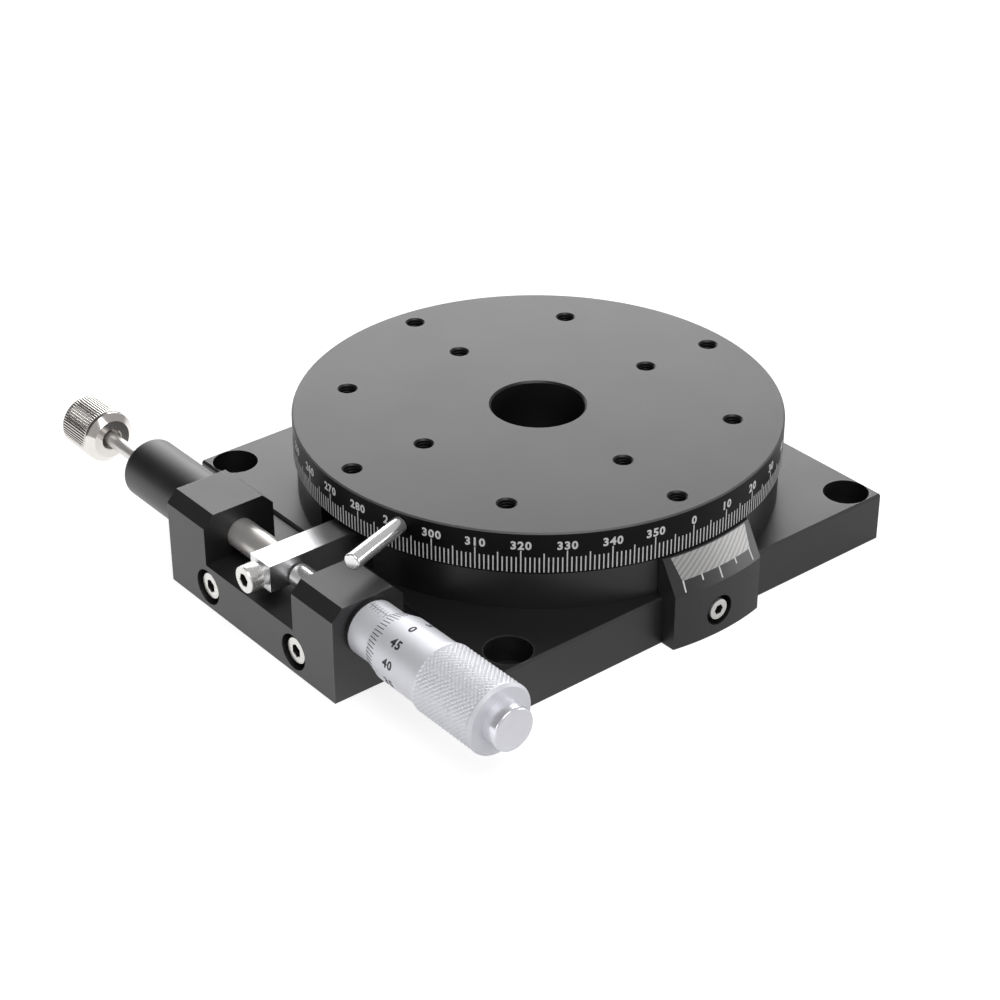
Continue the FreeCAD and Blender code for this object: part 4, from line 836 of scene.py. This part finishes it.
def knurling():
    """Tree: grooves pressed into a turned piece round the micrometer's line, straight or crossed."""
    shape = Shape("knurling", {
        "Count": "Float", "Lead": "Float", "Depth": "Float", "Material": "Material"})
    position = shape.node("GeometryNodeInputPosition").outputs[0]
    along, across, up = shape.parts(position)
    front = LINE_Y - across
    top = up - LINE_Z
    reach = hypotenuse(front, top)
    turns = maths("ARCTAN2", front, top) / (2 * math.pi) * shape.given("Count")
    climb = along * shape.given("Lead")
    half = 0.5
    flat = 0.2
    rising = abs((turns + climb) % 1.0 - half)
    falling = abs((turns - climb) % 1.0 - half)
    groove = shape.ramp(largest(rising, falling), flat, half, smooth=False)
    weight = shape.node("GeometryNodeInputNamedAttribute", {"data_type": "FLOAT"}, {"Name": "knurled"})
    deep = groove * shape.given("Depth") * Field(weight.outputs["Attribute"]) / reach
    pressed = shape.node("GeometryNodeSetPosition", {}, {
        "Geometry": shape.start.outputs["Geometry"],
        "Offset": shape.vector(0.0, front * deep, 0 - top * deep)})
    shape.finish(pressed.outputs["Geometry"])
    return shape


def weigh(mesh, low, high, reach):
    """Mark the vertices that the knurling presses, by their place along the line."""
    weights = []
    for vert in mesh.vertices:
        far = math.hypot(vert.co.y - LINE_Y, vert.co.z - LINE_Z)
        inside = low <= vert.co.x <= high and far > reach
        weights.append(1.0 if inside else 0.0)
    mesh.attributes.new("knurled", "FLOAT", "POINT").data.foreach_set("value", weights)


def spaced(first, last, step):
    """Evenly spaced places from first to last, about a step apart."""
    count = max(1, round((last - first) / step))
    return [first + (last - first) * index / count for index in range(count + 1)]


def cap_screw(sizes, long):
    """Socket head screw that points down from its head's front at the origin."""
    bm = bmesh.new()
    segments = sizes.ribs * 2
    bevel = sizes.edge
    head = sizes.head
    under = sizes.head_high
    chamfer = 0.2 * MM
    tip = 0.5 * MM
    mouth_wide = 0.15 * MM
    drilled = 0.6 * MM

    def place(along, radius, angle):
        return Vector((radius * math.cos(angle), radius * math.sin(angle), -along))

    stations = [(0.0, head - bevel), (bevel * 0.3, head - bevel * 0.3), (bevel, head), (bevel * 1.6, head)]
    stations += [(under - chamfer, head), (under, head - chamfer), (under, sizes.shank)]
    stations += [(long - tip, sizes.shank), (long, sizes.shank - tip), (long, 0)]
    rings = lathe(bm, stations, segments, place, closed=False)
    ribbed = rings[3:5]
    for ring in ribbed:
        for vert in ring[::2]:
            vert.co.x *= 1 - sizes.rib_deep / head
            vert.co.y *= 1 - sizes.rib_deep / head
    flat = sizes.socket / 2
    mouth = hexagon_ring(bm, flat, segments, 0.0, mouth_wide)
    wall = hexagon_ring(bm, flat, segments, -mouth_wide, 0.0)
    floor = hexagon_ring(bm, flat, segments, -sizes.socket_deep, 0.0)
    bottom = [bm.verts.new((0, 0, -sizes.socket_deep - drilled))]
    join_rings(bm, mouth, rings[0], segments)
    hollow = len(bm.faces)
    join_rings(bm, wall, mouth, segments)
    join_rings(bm, floor, wall, segments)
    join_rings(bm, bottom, floor, segments)
    total = len(bm.faces)
    mesh = bpy.data.meshes.new("cap_screw")
    bmesh.ops.recalc_face_normals(bm, faces=bm.faces)
    bm.to_mesh(mesh)
    bm.free()
    inside = [hollow + segments <= face < total for face in range(total)]
    mesh.attributes.new("hollow", "BOOLEAN", "FACE").data.foreach_set("value", inside)
    shade(mesh, sharp=40)
    return mesh


def hexagon_ring(bm, flat, segments, level, flare):
    """Ring of points on a hexagon, widened by a flare."""
    ring = []
    for step in range(segments):
        angle = 2 * math.pi * step / segments
        off = (angle + math.pi / 6) % (math.pi / 3) - math.pi / 6
        radius = flat / math.cos(off) + flare
        ring.append(bm.verts.new((radius * math.cos(angle), radius * math.sin(angle), level)))
    return ring


def points_mesh(name, points):
    """Mesh of loose points."""
    mesh = bpy.data.meshes.new(name)
    mesh.from_pydata([tuple(point) for point in points], [], [])
    return mesh


# Operators
class STAGE_OT_finishes(bpy.types.Operator):
    """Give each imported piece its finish"""

    bl_idname = "rotation_stage.finishes"
    bl_label = "Finish the Packed Pieces"

    def execute(self, context):
        colours = context.scene.finish_colours
        # Place on both axes and radius of the corner holes' mouths, which get a painted highlight, in
        # millimetres
        corner_holes = (56.0, 5.9)
        for name in ("base_plate", "drive_bracket", "vernier_block", "bearing_housing", "plunger_tube",
                     "micrometer_flange", "tangent_ring"):
            low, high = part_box(name)
            mouths = corner_holes if name == "base_plate" else None
            self.dress(name, anodised("anodised_" + name, low, high, colours, mouths))
        self.dress("rotary_table", turned_anodised(colours))
        named = {
            "turned_chrome": ["micrometer_sleeve"],
            "cap_chrome": ["thimble_cap"],
            "bright_steel": ["spindle", "lock_pin", "bracket_dowels", "arm_end_washer"],
            "ground_steel": ["plunger_rod", "pull_rod"],
            "arm_aluminium": ["tangent_arm"],
            "race_steel": ["outer_race", "inner_race", "bearing_balls"],
            "black_oxide": ["housing_screws", "arm_fixing_screws", "micrometer_set_screw"],
            "spring_wire": ["plunger_spring"],
            "turned_brass": ["ball_cage", "plunger_bush", "brake_pad", "ring_washer", "hub_nut",
                             "backlash_nut"],
        }
        for finish, nodes in named.items():
            for name in nodes:
                self.dress(name, finish_named(context, finish))
        return {"FINISHED"}

    def dress(self, name, material):
        """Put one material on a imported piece."""
        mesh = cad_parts[name].data
        mesh.materials.clear()
        mesh.materials.append(material)


class STAGE_OT_rim_scale(bpy.types.Operator):
    """Add the degree lines and numerals round the table's rim"""

    bl_idname = "rotation_stage.rim_scale"
    bl_label = "Rim Scale"

    def execute(self, context):
        sizes = context.scene.rim_scale_sizes
        material = finish_named(context, "white_filling")
        thick = sizes.proud * 4
        lines = ring_of_lines().grow("rim_lines", points_mesh("rim_lines_base", []), {
            "Count": 360, "Radius": DISK_RADIUS + sizes.proud - thick / 2, "Start": sizes.foot,
            "Turn": sizes.zero, "Short": sizes.short, "Middle": sizes.middle, "Tall": sizes.tall,
            "Width": sizes.wide, "Thickness": thick, "Material": material})
        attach(lines, "table")
        low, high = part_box("lock_pin")
        pin = math.atan2(low.y + high.y, low.x + high.x)
        bm = bmesh.new()
        for value in range(0, 360, 10):
            azimuth = sizes.zero + math.radians(value)

            def place(across, up, out):
                reach = DISK_RADIUS + out
                return on_axis(azimuth + across / DISK_RADIUS, reach, sizes.numeral_level + up)

            def kept(across):
                apart = math.remainder(azimuth + across / DISK_RADIUS - pin, 2 * math.pi)
                return abs(apart) * DISK_RADIUS > sizes.clear

            figures(bm, str(value), sizes.numeral_high, sizes.numeral_pitch, sizes.proud, place, kept)
        numerals = dressed("rim_numerals", bm, material)
        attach(numerals, "table")
        return {"FINISHED"}


class STAGE_OT_table_threads(bpy.types.Operator):
    """Add the threads inside the table's tapped holes"""

    bl_idname = "rotation_stage.table_threads"
    bl_label = "Table Threads"

    def execute(self, context):
        sizes = context.scene.thread_sizes
        turn_back = context.scene.rim_scale_sizes.zero
        outer = DISK_RADIUS - sizes.rim
        spots = []
        for quarter in range(4):
            straight = turn_back + quarter * math.pi / 2
            for reach, azimuth in ((sizes.near, straight), (outer, straight),
                                   (sizes.near * math.sqrt(2), straight + math.pi / 4)):
                spots.append(on_axis(azimuth, reach, DISK_TOP - sizes.lead_in - sizes.deep))
        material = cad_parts["rotary_table"].data.materials[0]
        coils = thread_coils().grow("table_threads", points_mesh("table_threads_base", spots), {
            "Radius": sizes.hole, "Depth": sizes.deep, "Turns": sizes.deep / sizes.pitch,
            "Ridge": sizes.crest, "Material": material})
        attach(coils, "table")
        return {"FINISHED"}


class STAGE_OT_vernier_scale(bpy.types.Operator):
    """Add the reading field and its lines on the vernier block"""

    bl_idname = "rotation_stage.vernier_scale"
    bl_label = "Vernier Scale"

    def execute(self, context):
        sizes = context.scene.vernier_sizes
        bm = bmesh.new()
        azimuths = spaced(sizes.first, sizes.last, math.radians(1))
        self.patch(bm, sizes, azimuths, sizes.base_level, sizes.top_level, sizes.widen)
        field = dressed("vernier_field", bm, finish_named(context, "vernier_field"))
        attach(field, "root")
        bm = bmesh.new()
        half = sizes.wide / 2 / VERNIER_HIGH.x
        for number in range(-2, 3):
            middle = sizes.middle + number * sizes.step
            foot = sizes.short_level if number % 2 else sizes.long_level
            self.patch(bm, sizes, (middle - half, middle + half), foot, sizes.base_level)
        lines = dressed("vernier_lines", bm, finish_named(context, "white_filling"))
        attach(lines, "root")
        return {"FINISHED"}

    def patch(self, bm, sizes, azimuths, foot, top, widen=1.0):
        """Closed patch on the leaning face along azimuths and between two levels."""
        sections = []
        for azimuth in azimuths:
            above = sizes.middle + (azimuth - sizes.middle) * widen
            corners = ((azimuth, foot, -1), (azimuth, foot, 1), (above, top, 1), (above, top, -1))
            sections.append([on_axis(place, self.face(sizes, level) + side * sizes.proud, level)
                             for place, level, side in corners])
        bar(bm, sections)

    def face(self, sizes, level):
        """Radius of the leaning face at a level."""
        share = (level - sizes.bend) / (VERNIER_HIGH.z - sizes.bend)
        return VERNIER_HIGH.x + (DISK_RADIUS + sizes.crest - VERNIER_HIGH.x) * share


class STAGE_OT_thimble(bpy.types.Operator):
    """Build the micrometer's thimble with its knurled grip"""

    bl_idname = "rotation_stage.thimble"
    bl_label = "Thimble"

    def execute(self, context):
        sizes = context.scene.thimble_sizes
        start = THIMBLE_LOW.x
        end = THIMBLE_HIGH.x
        grip = THIMBLE_HIGH.z - LINE_Z
        cone_end = start + sizes.cone
        plain_end = cone_end + sizes.plain
        grip_start = plain_end + sizes.step
        grip_end = end - sizes.edge
        floor = end - sizes.end_wall
        # Spacing of the grip's rings, and what the knurling leaves out at its ends and below its surface
        ring_step = 0.2 * MM
        margin = 0.35 * MM
        skin = 0.1 * MM
        faces_per_knurl = 7
        stations = [(start, sizes.wall_in), (start, sizes.lip)]
        stations += [(cone_end, sizes.barrel), (plain_end, sizes.barrel)]
        stations += [(along, grip) for along in spaced(grip_start, grip_end, ring_step)]
        stations += [(end, grip - sizes.edge), (end, sizes.tail)]
        stations += [(floor, sizes.tail), (floor, sizes.wall_in)]
        bm = bmesh.new()
        lathe(bm, stations, sizes.knurls * faces_per_knurl, on_line, closed=True)
        base = finished_mesh("thimble_base", bm, sharp=20)
        weigh(base, grip_start + margin, grip_end - margin, grip - skin)
        pitch = 2 * math.pi * grip / sizes.knurls
        item = knurling().grow("knurled_thimble", base, {
            "Count": float(sizes.knurls), "Lead": 1 / pitch, "Depth": sizes.knurl_deep,
            "Material": finish_named(context, "turned_chrome")})
        shade(item.data, sharp=30)
        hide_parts("thimble")
        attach(item, "thimble")
        return {"FINISHED"}


class STAGE_OT_thimble_scale(bpy.types.Operator):
    """Add the lines and numerals of the thimble"""

    bl_idname = "rotation_stage.thimble_scale"
    bl_label = "Thimble Scale"

    def execute(self, context):
        sizes = context.scene.thimble_sizes
        material = finish_named(context, "black_filling")
        start = THIMBLE_LOW.x
        first = start + 0.15 * MM
        deep = 0.03 * MM
        half = sizes.line_wide / 2
        divisions = 50

        def cone(along):
            return sizes.lip + (along - start) * (sizes.barrel - sizes.lip) / sizes.cone

        bm = bmesh.new()
        for line in range(divisions):
            angle = sizes.zero + line * 2 * math.pi / divisions
            long = sizes.line_short if line % 5 else sizes.line_long
            stroke(bm, cone, (first, first + long), angle, (-half, half), deep)
        lines = dressed("thimble_lines", bm, material)
        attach(lines, "thimble")
        bm = bmesh.new()
        middle = start + sizes.numeral_reach
        for line in range(0, divisions, 5):
            angle = sizes.zero + line * 2 * math.pi / divisions

            def place(across, up, out):
                return on_line(middle + across, sizes.barrel + out, angle - up / sizes.barrel)

            value = (divisions - line) % divisions
            figures(bm, str(value), sizes.numeral_high, sizes.numeral_pitch, deep, place)
        numerals = dressed("thimble_numerals", bm, material)
        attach(numerals, "thimble")
        return {"FINISHED"}


class STAGE_OT_sleeve_scale(bpy.types.Operator):
    """Add the line and the millimetre marks along the micrometer's sleeve"""

    bl_idname = "rotation_stage.sleeve_scale"
    bl_label = "Sleeve Scale"

    def execute(self, context):
        sizes = context.scene.thimble_sizes
        radius = FLANGE_HIGH.z - LINE_Z
        first = FLANGE_HIGH.x + 0.4 * MM
        # Millimetres shown, then sizes of the marks
        travel = 13
        deep = 0.02 * MM
        half_line = 0.06 * MM
        half_mark = 0.06 * MM
        below = -1.0 * MM
        above = 1.1 * MM
        fifth = 1.6 * MM

        def sleeve(along):
            return radius

        bm = bmesh.new()
        stroke(bm, sleeve, (first, first + travel * MM), sizes.zero, (-half_line, half_line), deep)
        for half in range(travel * 2):
            along = first + half * 0.5 * MM
            if half % 2:
                reach = below
            elif half % 10:
                reach = above
            else:
                reach = fifth
            stroke(bm, sleeve, (along - half_mark, along + half_mark), sizes.zero, sorted((0, reach)), deep)
        marks = dressed("sleeve_marks", bm, finish_named(context, "black_filling"))
        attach(marks, "root")
        return {"FINISHED"}


class STAGE_OT_pull_knob(bpy.types.Operator):
    """Build the knurled knob of the spring plunger"""

    bl_idname = "rotation_stage.pull_knob"
    bl_label = "Pull Knob"

    def execute(self, context):
        sizes = context.scene.knob_sizes
        far = KNOB_LOW.x
        face = KNOB_HIGH.x
        radius = KNOB_HIGH.z - LINE_Z
        ring = face - sizes.bevel
        # Depth of the groove before the bevelled ring, and sizes of the small edges
        groove = 0.35 * MM
        soft = 0.12 * MM
        lead = 0.3 * MM
        lip = 0.2 * MM
        # Where ribs, groove and bevel start and end, and what the ribbing leaves out
        ribs_start = far + sizes.edge
        ribs_end = ring - 0.9 * MM
        land_end = ring - 0.55 * MM
        groove_start = ring - 0.4 * MM
        groove_end = ring - 0.1 * MM
        bevel_start = ring + 0.5 * MM
        ring_step = 1.5 * MM
        faces_per_rib = 6
        skin = 0.1 * MM
        stations = [(far, 0), (far, radius - sizes.edge - lead), (far + soft, radius - sizes.edge)]
        stations += [(ribs_start, radius)]
        stations += [(along, radius) for along in spaced(ribs_start + lead, ribs_end, ring_step)]
        stations += [(land_end, radius), (groove_start, radius - groove)]
        stations += [(groove_end, radius - groove), (ring, radius - 0.05 * MM)]
        stations += [(bevel_start, radius - soft), (face - lead, sizes.nose + soft)]
        stations += [(face, sizes.nose - 0.15 * MM), (face, sizes.recess + lip), (face - lip, sizes.recess)]
        stations += [(face - sizes.recess_deep, sizes.recess), (face - sizes.recess_deep, sizes.rod)]
        stations += [(far + sizes.solid, sizes.rod), (far + sizes.solid, 0)]
        bm = bmesh.new()
        lathe(bm, stations, sizes.ribs * faces_per_rib, on_line, closed=False)
        base = finished_mesh("pull_knob_base", bm, sharp=20)
        weigh(base, ribs_start + lip, ring - 0.8 * MM, radius - skin)
        item = knurling().grow("ribbed_knob", base, {
            "Count": float(sizes.ribs), "Lead": 0.0, "Depth": sizes.rib_deep,
            "Material": finish_named(context, "nickel_plate")})
        shade(item.data, sharp=30)
        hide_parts("pull_knob")
        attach(item, "plunger")
        return {"FINISHED"}


class STAGE_OT_cap_screws(bpy.types.Operator):
    """Put detailed socket head screws in the bracket, the arm and the vernier block"""

    bl_idname = "rotation_stage.cap_screws"
    bl_label = "Socket Head Screws"

    def execute(self, context):
        sizes = context.scene.screw_sizes
        shape = copies_on_points()
        forward = Euler((math.pi / 2, 0, 0))
        skewed = Euler((math.pi / 2, 0.3, 0))
        sideways = Euler((0, math.pi / 2, 0))
        low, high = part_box("bracket_screws")
        level = (low.z + high.z) / 2
        spots = [Vector((x, low.y, level)) for x in (low.x + sizes.head, high.x - sizes.head)]
        self.place(context, shape, "bracket_screws", "root", spots, high.y - low.y, forward)
        low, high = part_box("arm_end_screw")
        spots = [Vector(((low.x + high.x) / 2, low.y, (low.z + high.z) / 2))]
        self.place(context, shape, "arm_end_screw", "fine_stage", spots, high.y - low.y, skewed)
        low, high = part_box("vernier_screw")
        spots = [Vector((high.x, (low.y + high.y) / 2, (low.z + high.z) / 2))]
        self.place(context, shape, "vernier_screw", "root", spots, high.x - low.x, sideways, sizes.small)
        return {"FINISHED"}

    def place(self, context, shape, node, body, spots, long, turned, grade=1.0):
        """Screws of one length on their points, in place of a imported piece."""
        sizes = context.scene.screw_sizes
        mesh = cap_screw(sizes, long / grade)
        mesh.transform(Matrix.Scale(grade, 4))
        pattern = added("screw_pattern", mesh)
        item = shape.grow("socket_" + node, points_mesh(node + "_base", spots), {
            "Piece": pattern, "Turn": turned, "Material": finish_named(context, "screw_steel"),
            "Hollow material": finish_named(context, "socket_shade")})
        bpy.data.objects.remove(pattern)
        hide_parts(node)
        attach(item, body)


class STAGE_OT_studio(bpy.types.Operator):
    """Add the floor, the lamps, the world and the camera"""

    bl_idname = "rotation_stage.studio"
    bl_label = "Studio"

    def execute(self, context):
        studio = context.scene.studio_settings
        context.scene.view_settings.view_transform = "Standard"
        self.floor(studio)
        self.world(context, studio)
        centre = (CAD_LOW + CAD_HIGH) / 2
        for name, place in SOFT_BOXES.items():
            self.soft_box(name + "_box", centre, power=getattr(studio, name), **place)
        self.camera(context, studio)
        return {"FINISHED"}

    def floor(self, studio):
        """Pale floor that keeps the object's shadow and, seen in metal, changes between two places."""
        half = 4.0
        level = CAD_LOW.z - 0.1 * MM
        # Where the floor's look in metal changes, in millimetres of x + y
        left = -120
        right = 80
        corners = [(-half, -half, level), (half, -half, level), (half, half, level), (-half, half, level)]
        mesh = bpy.data.meshes.new("floor")
        mesh.from_pydata(corners, [], [(0, 1, 2, 3)])
        finish = Finish("pale_floor", metallic=0.0, roughness=0.9)
        finish.colour((studio.floor_white,) * 3 + (1,))
        path = finish.node("ShaderNodeLightPath")
        direct, glossy, through = [Field(path.outputs["Is %s Ray" % kind])
                                   for kind in ("Camera", "Glossy", "Transmission")]
        mirrored = finish.ramp(finish.x + finish.y, left, right, studio.mirror_left, studio.mirror_right)
        glow = direct * studio.floor_glow + largest(glossy, through) * mirrored
        feed(finish.shader.inputs["Emission Color"], finish.vector(glow, glow, glow))
        feed(finish.shader.inputs["Emission Strength"], 1.0)
        mesh.materials.append(finish.material)
        added("floor", mesh)

    def world(self, context, studio):
        """Soft light from all round, which darkens from its brink to its core on the left in front."""
        world = bpy.data.worlds.new("studio_world")
        world.use_nodes = True
        network = Network(world.node_tree)
        world.node_tree.nodes.clear()
        direction = network.node("ShaderNodeTexCoord").outputs["Generated"]
        azimuth = math.radians(-148)
        elevation = math.radians(30)
        dark = on_axis(azimuth, math.cos(elevation), math.sin(elevation))
        towards = network.node("ShaderNodeVectorMath", {"operation": "DOT_PRODUCT"}, {
            0: direction, 1: tuple(dark)})
        brink = 0.45
        core = 0.9
        level = network.ramp(Field(towards.outputs["Value"]), brink, core, studio.sky, studio.shade)
        light = network.node("ShaderNodeBackground", {}, {"Color": (1, 1, 1, 1), "Strength": level})
        network.node("ShaderNodeOutputWorld", {}, {"Surface": light.outputs["Background"]})
        context.scene.world = world

    def soft_box(self, name, centre, azimuth, elevation, far, wide, high, power):
        """Rectangular lamp that faces the object."""
        lamp = bpy.data.lights.new(name, "AREA")
        lamp.shape = "RECTANGLE"
        lamp.size = wide
        lamp.size_y = high
        lamp.energy = power
        item = bpy.data.objects.new(name, lamp)
        bpy.context.scene.collection.objects.link(item)
        flat = far * math.cos(math.radians(elevation))
        offset = on_axis(math.radians(azimuth), flat, far * math.sin(math.radians(elevation)))
        item.location = centre + offset
        item.rotation_euler = (-offset).to_track_quat("-Z", "Y").to_euler()
        item.visible_camera = False

    def camera(self, context, studio):
        """Camera at the photograph's angle."""
        camera = bpy.data.cameras.new("camera")
        camera.lens = studio.lens
        camera.sensor_width = 36
        camera.clip_start = 0.01
        item = bpy.data.objects.new("camera", camera)
        context.scene.collection.objects.link(item)
        flat = math.cos(studio.elevation)
        side = math.sin(studio.azimuth) * flat
        front = math.cos(studio.azimuth) * flat
        back = Vector((side, -front, math.sin(studio.elevation)))
        item.location = Vector(studio.aim) + back * studio.distance
        item.rotation_euler = (-back).to_track_quat("-Z", "Y").to_euler()
        context.scene.camera = item


class STAGE_PT_panel(bpy.types.Panel):
    """Panel in the sidebar that lists the stage's pieces"""

    bl_idname = "STAGE_PT_panel"
    bl_label = "Rotation Stage"
    bl_space_type = "VIEW_3D"
    bl_region_type = "UI"
    bl_category = "Rotation Stage"

    def draw(self, context):
        for operator in OPERATORS:
            self.layout.operator(operator.bl_idname)
        for name in GROUPS:
            group = getattr(context.scene, name)
            box = self.layout.box()
            box.label(text=name.replace("_", " ").capitalize())
            for value in group.__annotations__:
                box.prop(group, value)


GROUPS = {
    "rim_scale_sizes": RimScaleSizes,
    "vernier_sizes": VernierSizes,
    "thimble_sizes": ThimbleSizes,
    "knob_sizes": KnobSizes,
    "screw_sizes": ScrewSizes,
    "thread_sizes": ThreadSizes,
    "finish_colours": FinishColours,
    "studio_settings": StudioSettings,
}
OPERATORS = (
    STAGE_OT_finishes,
    STAGE_OT_rim_scale,
    STAGE_OT_table_threads,
    STAGE_OT_vernier_scale,
    STAGE_OT_thimble,
    STAGE_OT_thimble_scale,
    STAGE_OT_sleeve_scale,
    STAGE_OT_pull_knob,
    STAGE_OT_cap_screws,
    STAGE_OT_studio,
)


def register():
    """Register the classes and hang the property groups on the scene."""
    for item in (*GROUPS.values(), *OPERATORS, STAGE_PT_panel):
        bpy.utils.register_class(item)
    for name, group in GROUPS.items():
        setattr(bpy.types.Scene, name, PointerProperty(type=group))


def unregister():
    """Take the property groups and the classes away again."""
    for name in GROUPS:
        delattr(bpy.types.Scene, name)
    for item in (STAGE_PT_panel, *reversed(OPERATORS), *reversed(list(GROUPS.values()))):
        bpy.utils.unregister_class(item)


def main():
    """Make every piece."""
    register()
    for operator in OPERATORS:
        group, name = operator.bl_idname.split(".")
        getattr(getattr(bpy.ops, group), name)()


if __name__ == "__main__":
    main()
